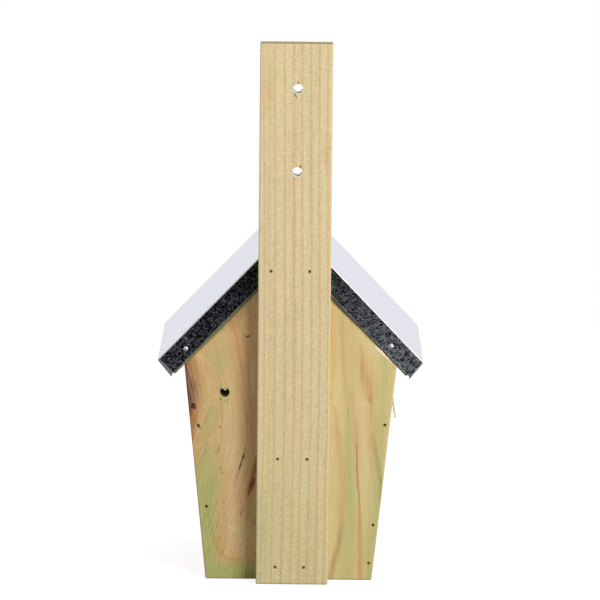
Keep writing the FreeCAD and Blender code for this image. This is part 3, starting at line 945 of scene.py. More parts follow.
    def material(self) -> bpy.types.Material:
        """Build the finish.

        Returns:
            The material.
        """
        recipe = Recipe(self.name)
        axes = dict(zip("XYZ", recipe.split(recipe.point)))
        point = recipe.join(*(axes[name] for name in self.grain.value))
        flow = self.bent(recipe, point)
        rim: Socket | None = None
        if self.branches:
            flow, rim = self.parted(recipe, flow)
        timber = Timber(
            recipe=recipe,
            axes=axes,
            flow=flow,
            line=self.quarter_lines(recipe, flow) if self.lines else self.rings(recipe, flow),
            grip=recipe.fade(axes["X"], *self.span, self.calm, 1.0),
            coarse=recipe.grey(flow, COARSE_FIBRE),
            fine=recipe.grey(flow, FINE_FIBRE),
            wool=recipe.grey(recipe.slant(point), PLANED_WOOL),
        )
        colour = self.painted(timber, self.sawn(timber))
        if rim is not None:
            colour = self.grown_in(timber, rim, colour)
        colour = self.drilled(timber, self.planed(timber, colour))
        rough = recipe.fade(timber.fine, *MIDDLING, *WOOD_ROUGH)
        rough = recipe.add(rough, recipe.times(timber.line, RING_POLISH))
        height = recipe.add(recipe.times(timber.fine, FINE_RELIEF), recipe.times(timber.line, RING_RELIEF))
        height = recipe.add(height, recipe.times(timber.wool, WOOL_RELIEF))
        recipe.shader.inputs["Specular IOR Level"].default_value = WOOD_SPECULAR
        return recipe.finish(colour, rough, height, WOOD_RELIEF)


@dataclass(frozen=True)
class RoofForm:
    """Sizes of the folded roof sheet, in millimetres and degrees.

    Attributes:
        ridge: Height of the ridge.
        pitch: Slope of the roof.
        eave: Length of a slope, at which the lips turn down.
        flange: Depth of the gable flanges under the slopes.
        flare: Outward lean of the lips.
    """

    ridge: float = 226.0
    pitch: float = 46.0
    eave: float = 120.0
    flange: float = 13.3
    flare: float = 7.0

    def slant(self) -> Pair:
        """Give the cosine and sine of the pitch."""
        return math.cos(math.radians(self.pitch)), math.sin(math.radians(self.pitch))

    def hem(self) -> float:
        """Give how far a lip leans out for each millimetre of its depth."""
        return math.tan(math.radians(self.flare))

    def place(self, side: int, run: float, deep: float, y: float) -> Vector:
        """Give a point in metres by its slope, 1 for +X or -1, its run down it, depth under it and Y."""
        cos, sin = self.slant()
        return Vector((side * (run * cos - deep * sin), y, self.ridge - run * sin - deep * cos)) * MM


# Noises of the zinc and the wire
ZINC_FRAY = Wander(Noise((0.45, 0.45, 0.45), 3.0), (2.2, 2.2, 2.2))
ZINC_CLOUD = Noise((1.3, 1.3, 1.3), 3.0, 0.75)
ROLLING_STREAK = Noise((0.8, 0.015, 1.0), 3.0)
WIRE_SCUFF = Noise((2.2, 2.2, 2.2), 4.0, 0.6)
WIRE_STAIN = Noise((0.7, 0.7, 0.7), 3.0)
SCUFF_RANGE = (0.25, 0.75)

# Crystals: shares of needles and cloud in the frost, how much they differ, and the lines between them
NEEDLE_SHARE = 0.55
CLOUD_SHARE = 0.45
LEVEL_SHARE = 0.10
RIM_WIDTH = (0.02, 0.11)

# Readings between which the zinc changes, of the frost and of how far a face looks along Y
FROST_RANGE = (0.20, 0.80)
THIN_RANGE = (0.15, 1.0)
FLAT_FACING = (0.90, 0.995)
UPRIGHT_FACING = (0.90, 0.99)
FOLD_STARTS = (0.03, 0.15)
FOLD_ENDS = (0.97, 0.999)
HIGHLIGHT_STARTS = (0.7, 0.88)
HIGHLIGHT_ENDS = (0.98, 0.999)

# Painted highlights on the lips' ends and the cut edges, in mm from the edges, their shares there and on the
# folds, and the sheet's sheen, roughness and relief
LIP_EDGE = (-0.8, -0.5)
CUT_EDGE = (-0.6, -0.2)
EDGE_HIGHLIGHT_SHARE = 0.45
HIGHLIGHT_SHARE = 0.85
SHEEN_RANGE = (0.98, 1.02)
FROST_ROUGH = (0.22, 0.12)
WORN_ROUGH = 0.36
STREAK_RELIEF = 0.3
ZINC_RELIEF = 0.003


@dataclass(frozen=True)
class Zinc:
    """Hot-dip zinc with feathered crystals and faint rolling streaks, its flanges painted darker than its
    slopes as shade, darkest on the +X half of the roof.

    Attributes:
        name: Name of the material.
        form: Sizes of the sheet.
        shaded_half: Colours of the dark and the frosted crystals on the +X half, painted darker as shade.
        shaded_half_law: Power by which few of those crystals are bright.
        frosty: Colours of the dark and the frosted crystals on the -X half, the lit copy of the same sheet.
        frosty_law: Power by which few of those crystals are bright.
        shade_across: Places across the roof between which the frosty half turns into the painted shaded half.
        bright: Colour of the slopes, which mirror the sky.
        fold_highlight: Colour of the painted highlight along the folds.
        ridge_shade: Runs down the slope between which the flanges come out of the painted shade near the
            ridge.
        gloom: What is left of their colour there.
        eave_runs: Runs between which they grow brighter towards the eaves.
        eave_gain: How bright they get.
        crystal: Breadth of a crystal in millimetres.
        needle: How many needles of a crystal lie in a millimetre, across and along them.
        rim: How much brighter the lines between the crystals are.
        tilt: How far the crystals' faces lean.
    """

    name: str = "zinc_spangle"
    form: RoofForm = RoofForm()
    # The flanges' crystal colours are painted darker than the slopes' colour as shade; the +X half is the
    # darker copy
    shaded_half: tuple[Colour, Colour] = ((0.010, 0.010, 0.012), (0.620, 0.660, 0.770))
    shaded_half_law: float = 4.0
    frosty: tuple[Colour, Colour] = ((0.054, 0.058, 0.070), (0.860, 0.920, 1.000))
    frosty_law: float = 2.0
    shade_across: Pair = (-40.0, 40.0)
    bright: Colour = (0.68, 0.69, 0.775)
    fold_highlight: Colour = (0.80, 0.68, 0.55)
    ridge_shade: Pair = (30.0, 80.0)
    gloom: float = 0.30
    eave_runs: Pair = (76.0, 112.0)
    eave_gain: float = 1.4
    crystal: float = 2.6
    needle: Three = (2.3, 2.3, 0.45)
    rim: float = 0.16
    tilt: float = 0.06

    def slope_place(self, recipe: Recipe) -> tuple[Socket, Socket]:
        """Place each point on its slope.

        Args:
            recipe: Node tree of the finish.

        Returns:
            Its run down the slope and its depth under it, in millimetres.
        """
        x, _, z = recipe.split(recipe.point)
        out = recipe.calc("ABSOLUTE", x)
        fall = recipe.minus(self.form.ridge, z)
        cos, sin = self.form.slant()
        run = recipe.add(recipe.times(out, cos), recipe.times(fall, sin))
        deep = recipe.minus(recipe.times(fall, cos), recipe.times(out, sin))
        return run, deep

    def cells(self, recipe: Recipe, point: Socket, scale: float, **settings: str) -> bpy.types.Node:
        """Add a pattern of cells.

        Args:
            recipe: Node tree of the finish.
            point: Place in millimetres.
            scale: Cells in a millimetre.
            settings: Which feature of the cells is read, and by which distance.

        Returns:
            The pattern's node.
        """
        made = recipe.node("ShaderNodeTexVoronoi", **settings)
        recipe.feed(made.inputs["Vector"], point)
        made.inputs["Scale"].default_value = scale
        return made

    def feathers(self, recipe: Recipe) -> tuple[Socket, Socket]:
        """Draw the crystals.

        Args:
            recipe: Node tree of the finish.

        Returns:
            The frost, about 0.5, and a chance vector for each crystal.
        """
        frayed = recipe.stray(recipe.point, ZINC_FRAY)
        chance = self.cells(recipe, frayed, 1.0 / self.crystal, feature="F1").outputs["Color"]
        level, spin, _ = recipe.split(chance)
        turned = recipe.node("ShaderNodeVectorRotate", rotation_type="Y_AXIS")
        recipe.feed(turned.inputs["Vector"], recipe.point)
        recipe.feed(turned.inputs["Angle"], recipe.times(spin, 2.0 * math.pi))
        place = recipe.vector("MULTIPLY", turned.outputs[0], self.needle)
        needles = self.cells(recipe, place, 1.0, feature="F1", distance="CHEBYCHEV")
        shine = recipe.times(recipe.split(needles.outputs["Color"])[0], NEEDLE_SHARE)
        shine = recipe.add(shine, recipe.times(recipe.grey(recipe.point, ZINC_CLOUD), CLOUD_SHARE))
        shine = recipe.add(shine, recipe.times(recipe.minus(level, 0.5), LEVEL_SHARE))
        edges = self.cells(recipe, frayed, 1.0 / self.crystal, feature="DISTANCE_TO_EDGE")
        rim = recipe.fade(edges.outputs["Distance"], *RIM_WIDTH, self.rim, 0.0)
        return recipe.add(shine, rim), chance

    def flange_colour(self, recipe: Recipe, needles: Socket, run: Socket) -> Socket:
        """Colour the flanges, whose crystals show, with painted shade: darker on the +X half and near the
        ridge, and brighter towards the eaves.

        Args:
            recipe: Node tree of the finish.
            needles: The frost, about 0.5.
            run: Run down the slope in millimetres.

        Returns:
            The colour.
        """
        thin = recipe.fade(needles, *THIN_RANGE)
        shaded_half = recipe.mix(recipe.calc("POWER", thin, self.shaded_half_law), *self.shaded_half)
        frosty = recipe.mix(recipe.calc("POWER", thin, self.frosty_law), *self.frosty)
        # Painted shade: the +X half of the flanges takes the darker copy of their colours
        colour = recipe.mix(recipe.fade(recipe.split(recipe.point)[0], *self.shade_across), frosty, shaded_half)
        # Painted shade near the ridge, where the batten shades the flanges; brighter towards the eaves
        out = recipe.fade(run, *self.ridge_shade, self.gloom, 1.0)
        shade_and_gain = recipe.times(out, recipe.fade(run, *self.eave_runs, 1.0, self.eave_gain))
        return recipe.vector("SCALE", colour, scale=shade_and_gain)

    def edge_highlights(self, recipe: Recipe, run: Socket, deep: Socket) -> Socket:
        """Find the sheet's cut edges and the lips' ends, which take a painted highlight.

        Args:
            recipe: Node tree of the finish.
            run: Run down the slope in millimetres.
            deep: Depth under it.

        Returns:
            The share of the painted highlight.
        """
        hem = recipe.times(deep, self.form.hem())
        lip = recipe.fade(recipe.minus(run, hem), *(self.form.eave + edge for edge in LIP_EDGE))
        cut = recipe.fade(deep, *(self.form.flange + edge for edge in CUT_EDGE), 0.0, EDGE_HIGHLIGHT_SHARE)
        return recipe.calc("MAXIMUM", cut, lip)

    def material(self) -> bpy.types.Material:
        """Build the finish.

        Returns:
            The material.
        """
        recipe = Recipe(self.name)
        needles, chance = self.feathers(recipe)
        frost = recipe.fade(needles, *FROST_RANGE)
        run, deep = self.slope_place(recipe)
        along = recipe.split(recipe.point)[1]
        streak = recipe.grey(recipe.join(along, run, 0.0), ROLLING_STREAK)
        facing = recipe.calc("ABSOLUTE", recipe.split(recipe.facing)[1])
        flat = recipe.fade(facing, *FLAT_FACING)
        fold = recipe.times(recipe.fade(facing, *FOLD_STARTS), recipe.fade(facing, *FOLD_ENDS, 1.0, 0.0))
        # Painted highlight: a warm pale band on each fold, next to the flat flange
        highlit = recipe.times(recipe.fade(facing, *HIGHLIGHT_STARTS), recipe.fade(facing, *HIGHLIGHT_ENDS, 1.0, 0.0))
        cut = self.edge_highlights(recipe, run, deep)
        # Painted highlight: the cut edges and the lips' ends take the bright frosted colour
        frosted = recipe.mix(cut, self.flange_colour(recipe, needles, run), self.frosty[1])
        sheen = recipe.vector("SCALE", self.bright, scale=recipe.fade(streak, *MIDDLING, *SHEEN_RANGE))
        # Slopes and upright flanges are lit and shaded copies of one sheet, the flanges in their painted
        # darker colour
        colour = recipe.mix(recipe.fade(facing, *UPRIGHT_FACING), sheen, frosted)
        colour = recipe.mix(recipe.times(highlit, HIGHLIGHT_SHARE), colour, self.fold_highlight)
        lean = recipe.vector("SUBTRACT", chance, (0.5, 0.5, 0.5))
        lean = recipe.vector("SCALE", lean, scale=recipe.times(flat, self.tilt))
        normal = recipe.node("ShaderNodeNewGeometry").outputs["Normal"]
        normal = recipe.vector("NORMALIZE", recipe.vector("ADD", normal, lean))
        least, more = FROST_ROUGH
        rough = recipe.add(recipe.times(frost, more), least)
        rough = recipe.add(rough, recipe.times(recipe.calc("MAXIMUM", cut, fold), WORN_ROUGH))
        recipe.shader.inputs["Metallic"].default_value = 1.0
        relief = recipe.add(recipe.times(frost, flat), recipe.times(streak, STREAK_RELIEF))
        return recipe.finish(colour, rough, relief, ZINC_RELIEF, normal)


@dataclass(frozen=True)
class Wire:
    """Drawn steel of the nails, brads and hook, with scuffs and a touch of rust.

    Attributes:
        name: Name of the material.
        colour: Colour of the clean metal.
        rough: Mean roughness.
        rust: Share of the metal that has turned brown.
        brown: Colour of that rust.
        damp: Height in millimetres up to which the metal is brown all over.
        edge: Readings of the stain's noise between which clean metal turns brown.
        spread: How far rust lowers those readings.
        tide: Height over which the damp's brown fades out, on each side of its edge.
        scuffs: Shade and light of the scuffs.
        polish: How far the roughness goes below and above its mean.
        tarnish: How much rougher and less metallic the rust is.
        relief: Depth of the scuffs in millimetres.
    """

    name: str
    colour: Colour
    rough: float
    rust: float
    brown: Colour = (0.115, 0.060, 0.034)
    damp: float = -10.0
    edge: Pair = (0.62, 0.82)
    spread: float = 0.3
    tide: float = 2.0
    scuffs: Pair = (0.85, 1.1)
    polish: Pair = (0.07, 0.1)
    tarnish: Pair = (0.3, 0.7)
    relief: float = 0.015

    def material(self) -> bpy.types.Material:
        """Build the finish.

        Returns:
            The material.
        """
        recipe = Recipe(self.name)
        scuff = recipe.grey(recipe.point, WIRE_SCUFF)
        readings = (reading - self.spread * self.rust for reading in self.edge)
        stain = recipe.fade(recipe.grey(recipe.point, WIRE_STAIN), *readings)
        stain = recipe.times(stain, min(1.0, self.rust * 2.0))
        height = recipe.split(recipe.point)[2]
        damp = recipe.fade(height, self.damp - self.tide, self.damp + self.tide, 1.0, 0.0)
        stain = recipe.calc("MAXIMUM", stain, damp)
        clean = recipe.vector("SCALE", self.colour, scale=recipe.fade(scuff, *SCUFF_RANGE, *self.scuffs))
        colour = recipe.mix(stain, clean, self.brown)
        rougher, duller = self.tarnish
        rough = recipe.fade(scuff, *MIDDLING, self.rough - self.polish[0], self.rough + self.polish[1])
        rough = recipe.add(rough, recipe.times(stain, rougher))
        metal = recipe.minus(1.0, recipe.times(stain, duller))
        recipe.feed(recipe.shader.inputs["Metallic"], metal)
        return recipe.finish(colour, rough, scuff, self.relief)


# The back panel's rear face, across and up in mm, each layer over the one before
PANEL_KNOTS = (
    Knot((63.0, 110.0), (15.0, 28.0), 0.60),
    Knot((41.0, 105.0), (26.0, 55.0), 0.40),
    Knot((41.0, 119.3), (7.0, 16.0), 0.50),
    Knot((24.5, 59.0), (5.0, 16.0), 0.60),
)

PANEL_STREAKS = (
    Streak(Tone.PINK, 0.65, (
        (39.0, 166.2, 2.8), (33.9, 149.2, 4.7), (29.3, 127.0, 5.6), (26.0, 101.6, 5.6), (24.0, 82.5, 4.7),
        (22.6, 68.4, 3.0), (21.8, 60.0, 0.0),
    )),
    Streak(Tone.RUST, 0.22, (
        (30.8, 160.0, 0.0), (27.6, 149.2, 1.1), (25.6, 127.1, 1.4), (24.1, 101.6, 1.1), (23.3, 82.5, 0.0),
    )),
    Streak(Tone.RUST, 0.22, (
        (36.5, 163.7, 0.0), (32.6, 146.0, 0.9), (29.3, 123.8, 1.1), (27.2, 101.6, 0.8), (26.5, 88.8, 0.0),
    )),
    Streak(Tone.PINK, 0.70, (
        (25.5, 165.0, 1.0), (23.4, 145.0, 2.6), (22.6, 128.0, 3.2), (21.4, 105.0, 2.6), (20.6, 84.0, 0.0),
    )),
    Streak(Tone.PALE, 0.17, (
        (42.5, 138.3, 0.0), (37.4, 114.2, 4.7), (35.3, 88.8, 5.6), (35.6, 50.4, 4.7), (37.4, 27.9, 3.7),
        (36.7, 18.2, 0.0),
    )),
    Streak(Tone.RUST, 0.92, (
        (65.5, 143.0, 6.0), (64.3, 131.0, 9.5), (63.2, 118.0, 9.5), (62.6, 107.0, 7.0), (61.8, 97.0, 4.5),
        (61.4, 84.0, 0.0),
    )),
    Streak(Tone.PLUM, 0.90, (
        (66.0, 141.0, 2.0), (64.8, 131.0, 2.8), (63.6, 123.5, 5.6), (62.9, 116.0, 5.2), (62.6, 109.0, 3.0),
        (62.2, 103.8, 0.0),
    )),
    Streak(Tone.GREEN, 0.45, (
        (48.2, 111.3, 0.0), (50.7, 102.3, 3.6), (53.1, 94.7, 3.2), (55.4, 87.3, 0.0),
    )),
    Streak(Tone.GREEN, 0.35, (
        (43.6, 112.3, 0.0), (46.6, 102.4, 3.0), (49.3, 93.4, 0.0),
    )),
    Streak(Tone.RUST, 0.30, (
        (49.6, 108.9, 0.0), (52.9, 101.3, 0.6), (56.6, 93.1, 0.7), (59.1, 87.0, 0.0),
    )),
    Streak(Tone.RUST, 0.30, (
        (48.1, 97.5, 0.0), (51.0, 92.0, 0.7), (54.1, 85.7, 0.7), (56.5, 80.7, 0.0),
    )),
    Streak(Tone.RUST, 0.29, (
        (54.2, 116.0, 0.0), (58.6, 104.5, 1.0), (61.6, 95.5, 0.0),
    )),
    Streak(Tone.ORANGE, 0.39, (
        (63.0, 99.0, 0.0), (62.3, 94.9, 2.8), (60.3, 85.3, 4.7), (59.0, 75.7, 3.7), (58.3, 69.4, 0.0),
    )),
    Streak(Tone.OLIVE, 0.60, (
        (51.0, 88.6, 0.0), (53.6, 80.9, 1.2), (56.8, 73.5, 1.2), (58.3, 69.0, 0.0),
    )),
    Streak(Tone.GREEN, 0.80, (
        (46.5, 97.0, 4.0), (49.5, 84.0, 8.5), (51.5, 72.6, 10.0), (51.1, 59.8, 11.0), (49.8, 47.0, 9.5),
        (50.6, 31.0, 6.5), (51.1, 11.7, 8.5), (50.3, -3.8, 10.0),
    ), rise=0.35),
    Streak(Tone.RUST, 0.55, (
        (27.4, 86.0, 0.0), (29.6, 76.5, 1.3), (31.9, 69.4, 1.2), (33.6, 63.5, 0.8), (34.6, 60.0, 0.0),
    )),
    Streak(Tone.UMBER, 0.95, (
        (28.7, 80.2, 0.0), (29.2, 78.0, 0.7), (30.2, 75.6, 0.25), (31.0, 72.6, 0.75), (31.8, 69.6, 0.0),
    ), softness=0.6),
    Streak(Tone.RUST, 1.00, (
        (19.0, 84.0, 0.0), (21.4, 72.0, 2.4), (23.2, 63.5, 2.7), (24.9, 57.0, 2.5), (26.4, 52.3, 1.2),
        (27.0, 50.5, 0.0),
    ), softness=0.8),
    Streak(Tone.PINK, 0.80, (
        (26.0, 54.5, 0.0), (27.2, 51.5, 1.4), (29.6, 44.0, 1.3), (30.5, 39.1, 1.0), (30.9, 36.5, 0.0),
    ), softness=0.8),
    Streak(Tone.KNOT, 1.00, (
        (22.4, 66.0, 0.0), (23.2, 62.6, 1.1), (24.3, 59.0, 1.5), (25.2, 55.8, 1.1), (25.8, 53.8, 0.0),
    ), softness=0.6),
    Streak(Tone.PLUM, 0.80, (
        (29.3, 45.6, 0.0), (30.0, 42.6, 0.7), (30.7, 39.0, 0.0),
    ), softness=0.8),
    Streak(Tone.DEEP_GREEN, 0.58, (
        (22.5, 54.4, 0.0), (24.9, 46.6, 3.7), (24.2, 38.9, 4.7), (22.9, 33.8, 0.0),
    )),
    Streak(Tone.OLIVE, 0.91, (
        (51.9, 45.7, 0.0), (50.3, 39.3, 0.8), (48.1, 31.0, 0.8), (46.1, 22.7, 0.9), (43.6, 16.2, 0.8),
        (41.3, 13.0, 0.0),
    ), softness=0.8),
    Streak(Tone.ORANGE, 1.00, (
        (43.4, 37.5, 0.0), (44.9, 27.2, 1.8), (44.1, 20.7, 2.8), (42.3, 15.6, 2.1), (40.6, 12.7, 0.0),
    )),
    Streak(Tone.RUST, 0.40, (
        (43.9, 115.4, 0.0), (43.4, 109.1, 0.7), (42.6, 102.7, 0.6), (42.5, 98.3, 0.0),
    )),
    Streak(Tone.ORANGE, 0.66, (
        (-43.4, 156.9, 2.5), (-46.1, 140.5, 6.5), (-48.1, 127.8, 6.5), (-49.8, 118.3, 4.5),
        (-50.2, 113.8, 0.0),
    ), rise=0.6),
    Streak(Tone.RUST, 0.23, (
        (-47.5, 131.6, 0.0), (-49.1, 122.7, 2.2), (-50.2, 116.4, 1.5), (-50.2, 113.2, 0.0),
    )),
    Streak(Tone.OLIVE, 0.35, (
        (-49.5, 119.6, 0.0), (-49.9, 115.8, 2.4), (-50.8, 111.9, 0.0),
    )),
    Streak(Tone.ORANGE, 0.45, (
        (-49.3, 117.5, 0.0), (-51.2, 105.6, 3.7), (-51.4, 89.6, 3.7), (-52.0, 73.7, 1.9),
        (-52.1, 62.8, 0.0),
    )),
    Streak(Tone.PINK, 0.65, (
        (-37.6, 120.1, 0.0), (-40.3, 102.3, 3.5), (-41.5, 86.4, 3.5), (-42.0, 70.4, 2.3),
        (-42.8, 56.3, 0.0),
    )),
    Streak(Tone.RUST, 0.62, (
        (-41.3, 89.0, 0.0), (-41.8, 81.9, 0.6), (-42.5, 70.4, 0.7), (-43.4, 57.6, 0.8), (-44.1, 46.1, 0.8),
        (-44.5, 35.2, 0.9), (-44.7, 22.3, 0.7), (-45.2, -2.8, 0.7),
    )),
    Streak(Tone.ORANGE, 0.78, (
        (-44.0, 53.8, 0.0), (-44.6, 31.9, 2.2), (-45.0, 15.9, 2.8), (-45.0, -2.8, 2.2),
    )),
    Streak(Tone.PINK, 0.65, (
        (-27.5, 112.0, 0.0), (-29.1, 99.0, 2.3), (-31.9, 76.7, 3.0), (-33.7, 54.3, 3.2), (-32.9, 38.3, 2.5),
        (-30.6, 22.2, 2.1), (-27.0, 6.0, 1.6), (-25.8, -3.0, 0.9),
    )),
    Streak(Tone.OLIVE, 0.47, (
        (-34.2, 40.8, 0.0), (-33.0, 30.5, 1.8), (-30.9, 20.2, 2.5), (-28.2, 9.3, 2.8), (-25.8, -3.0, 2.5),
    )),
    Streak(Tone.GREEN, 0.52, (
        (-36.0, 112.0, 0.0), (-36.6, 99.1, 2.8), (-37.6, 70.3, 4.5), (-38.6, 38.3, 5.0), (-37.6, 12.6, 5.0),
        (-36.5, -2.9, 4.7),
    )),
    Streak(Tone.GREEN, 0.52, (
        (-58.6, 140.6, 4.7), (-57.7, 115.2, 6.5), (-56.8, 89.7, 5.6), (-55.2, 64.1, 5.6),
        (-53.7, 38.5, 5.6), (-51.5, 12.7, 4.7), (-51.0, -2.8, 3.7),
    )),
    Streak(Tone.OLIVE, 0.42, (
        (-51.6, 95.5, 0.0), (-53.0, 86.8, 1.6), (-54.4, 79.5, 2.0), (-56.2, 70.5, 1.8), (-57.2, 61.9, 0.0),
    )),
    Streak(Tone.OLIVE, 0.47, (
        (-57.7, 66.7, 0.0), (-57.5, 57.7, 2.2), (-56.9, 51.3, 1.5), (-56.7, 47.5, 0.0),
    )),
    Streak(Tone.PINK, 0.30, (
        (-36.0, 175.2, 5.0), (-37.0, 153.1, 7.0), (-38.4, 127.7, 5.0), (-39.6, 113.7, 0.0),
    )),
    Streak(Tone.ORANGE, 0.30, (
        (-26.9, 180.8, 2.5), (-26.5, 159.3, 3.5), (-26.8, 140.3, 2.8), (-26.9, 126.3, 0.0),
    )),
    Streak(Tone.OLIVE, 0.23, (
        (-31.4, 175.1, 0.0), (-32.2, 153.0, 2.1), (-33.8, 127.7, 2.1), (-35.8, 115.0, 1.4),
        (-37.2, 97.8, 0.0),
    )),
    Streak(Tone.OLIVE, 0.27, (
        (-43.5, 151.2, 0.0), (-44.6, 137.3, 1.5), (-44.7, 126.5, 0.0),
    )),
)

PANEL_MARKS = (
    # Painted shadow along the flanges' lower edges, under the +X flange and then the -X one
    Mark(Tone.OLIVE, (45.0, 157.8), (21.0, 182.5), 4.5, 1.0, 0.50),
    Mark(Tone.FLANGE_SHADOW, (62.5, 140.5), (21.0, 183.4), 1.5, 1.0, 0.50),
    Mark(Tone.FLANGE_SHADOW, (-60.0, 143.1), (-21.0, 183.4), 1.3, 1.0, 0.65),
    Mark(Tone.FLANGE_SHADOW, (-40.0, 163.7), (-21.0, 183.4), 1.4, 0.6, 0.85),
    Mark(Tone.UMBER, (61.3, 125.0), (60.6, 120.5), 1.9, 1.0, 0.28),
    Mark(Tone.RUST, (37.0, 160.5), (31.5, 169.5), 4.5, 1.0, 0.34),
    # Painted shade under the +X flange beside the batten
    Mark(Tone.OLIVE, (28.0, 174.0), (25.5, 166.0), 5.0, 1.0, 0.35),
    Mark(Tone.DEEP_GREEN, (40.0, 6.5), (18.0, 9.0), 7.0, 1.0, 0.45),
    Mark(Tone.GREEN, (53.0, 68.0), (50.0, -6.0), 11.0, 1.0, 0.70),
    # Painted light: paler beside the batten, lifting its cast shadow there
    Mark(Tone.PALE, (23.4, 142.0), (22.8, 116.0), 3.2, 1.0, 0.30),
    Mark(Tone.GREEN, (47.6, 151.0), (43.5, 132.0), 8.5, 1.0, 0.55),
    Mark(Tone.PINK, (34.0, 62.0), (33.6, 25.0), 12.5, 0.25, 0.40),
    Mark(Tone.PALE, (34.8, 46.0), (33.8, 24.0), 4.5, 1.0, 0.28),
    Mark(Tone.GREEN, (28.8, 38.0), (27.6, 22.0), 3.6, 1.0, 0.50),
    Mark(Tone.ORANGE, (41.7, 14.3), (30.3, 12.5), 0.99, 0.8, 0.40),
    Mark(Tone.OLIVE, (41.7, 13.6), (33.3, 11.9), 0.45, 0.8, 0.60),
    Mark(Tone.OLIVE, (34.3, 11.8), (28.3, 14.6), 0.45, 0.8, 0.60),
    Mark(Tone.OLIVE, (29.3, 14.5), (20.3, 16.5), 0.50, 0.8, 0.60),
    Mark(Tone.GREEN, (58.0, 3.2), (10.0, 2.2), 8.6, 0.45, 0.95),
    Mark(Tone.DEEP_GREEN, (31.5, 1.6), (18.9, 4.3), 3.5, 1.0, 0.70),
    Mark(Tone.GREEN, (58.2, 99.8), (55.7, 95.8), 1.74, 0.8, 0.40),
    Mark(Tone.UMBER, (58.0, 99.2), (56.0, 96.3), 0.56, 0.6, 0.80),
    # Painted shade: the small pit near the +X edge, drawn dark as its shaded inside
    Mark(Tone.PIT_SHADE, (60.4, 111.0), (59.8, 110.0), 1.60, 0.20, 1.00),
    Mark(Tone.PIT_SHADE, (61.3, 112.3), (60.4, 111.2), 0.60, 0.30, 1.00),
    Mark(Tone.PIT_SHADE, (61.8, 109.6), (60.6, 110.3), 0.65, 0.30, 1.00),
    Mark(Tone.RUST, (59.2, 111.5), (58.9, 108.3), 0.93, 0.7, 0.70),
    Mark(Tone.UMBER, (43.9, 97.9), (43.8, 97.0), 0.55, 0.7, 0.80),
    Mark(Tone.UMBER, (26.2, 155.6), (27.4, 154.3), 0.85, 0.6, 0.80),
    Mark(Tone.UMBER, (43.3, 71.4), (43.3, 70.1), 0.56, 0.7, 0.50),
    Mark(Tone.UMBER, (42.3, 68.6), (42.3, 67.6), 0.56, 0.7, 0.50),
    Mark(Tone.RUST, (41.3, 49.9), (40.8, 48.1), 0.60, 0.7, 0.60),
    Mark(Tone.PINK, (29.9, 34.2), (29.5, 31.8), 1.40, 0.8, 0.80),
    Mark(Tone.GREEN, (-64.2, 138.8), (-64.6, 134.3), 1.55, 0.9, 0.50),
    Mark(Tone.ORANGE, (-64.4, 114.2), (-64.3, 110.0), 0.80, 0.8, 0.70),
    Mark(Tone.RUST, (-49.9, 11.0), (-51.7, 11.0), 0.56, 0.6, 0.80),
    Mark(Tone.UMBER, (43.6, 115.9), (43.2, 114.7), 0.55, 0.7, 0.85),
    Mark(Tone.UMBER, (38.9, 115.6), (39.4, 114.4), 0.50, 0.7, 0.85),
    Mark(Tone.UMBER, (43.9, 122.6), (43.3, 120.6), 0.55, 0.7, 0.85),
    Mark(Tone.GREEN, (42.4, 112.8), (39.6, 112.8), 1.2, 0.9, 0.60),
)

# The batten's rear face
BATTEN_MARKS = (
    Mark(Tone.YELLOW, (-2.0, 100.0), (-2.0, -10.0), 34.0, 1.0, 0.17),
    Mark(Tone.GREEN, (-4.0, 38.0), (-4.0, -12.0), 22.0, 1.0, 0.10),
    Mark(Tone.PINK, (15.9, 318.4), (15.1, 299.8), 3.7, 1.0, 0.40),
    Mark(Tone.YELLOW, (1.6, 302.5), (1.5, 288.8), 3.7, 1.0, 0.30),
    Mark(Tone.PINK, (-20.8, 281.6), (-21.0, 263.0), 3.1, 1.0, 0.40),
    Mark(Tone.GREEN, (0.0, 135.0), (-6.2, 135.0), 1.0, 1.0, 0.30),
    Mark(Tone.GREEN, (-9.5, 123.0), (-15.7, 123.1), 1.0, 1.0, 0.30),
    Mark(Tone.GREEN, (15.5, 66.3), (16.2, 2.4), 7.5, 1.0, 0.30),
    Mark(Tone.PALE, (-1.6, 320.5), (-1.8, 316.5), 0.60, 0.8, 0.70),
    Mark(Tone.PALE, (-4.2, 308.2), (-3.2, 306.0), 0.50, 0.8, 0.70),
    Mark(Tone.PALE, (-3.9, 267.0), (-4.1, 264.2), 0.50, 0.8, 0.70),
    Mark(Tone.UMBER, (-3.0, 316.2), (-3.0, 314.9), 0.75, 0.7, 0.80),
    Mark(Tone.UMBER, (-0.6, 309.9), (-2.2, 306.8), 0.68, 0.7, 0.80),
    Mark(Tone.UMBER, (-4.9, 264.3), (-4.9, 263.2), 0.75, 0.7, 0.80),
    Mark(Tone.UMBER, (-1.1, 257.5), (-1.3, 255.4), 0.55, 0.8, 0.35),
)

# Painted shade on the rear end of the +X roof board, darker towards the ridge
ROOF_END_SHADE = (Mark(Tone.DEEP_GREEN, (12.0, 185.0), (40.0, 156.0), 12.0, 0.9, 0.85),)

# Ring lines of the batten, with their places across it in mm and their strengths
BATTEN_LINES = (
    (18.0, 0.8), (15.1, 0.35), (11.3, 0.85), (5.1, 0.95), (-0.65, 1.0),
    (-5.6, 1.0), (-11.2, 1.0), (-16.3, 1.0), (-21.4, 0.9),
)

# Grown-in knots of the front and the walls
FRONT_KNOTS = (
    Branch((-25.0, 62.0), 3.3), Branch((14.0, 172.0), 2.0), Branch((21.0, 99.0), 1.3),
    Branch((-9.0, 21.0), 1.0),
)
RIGHT_WALL_KNOTS = (
    Branch((-74.0, 84.0), 3.6), Branch((-45.0, 36.0), 1.5), Branch((-97.0, 121.0), 1.2),
)
LEFT_WALL_KNOTS = (
    Branch((-60.0, 108.0), 2.4), Branch((-94.0, 50.0), 3.0), Branch((-38.0, 62.0), 1.1),
)

HANG_HOLES = [mount for mount in frame["record"]["mounts"] if mount["kind"] == "bore"]


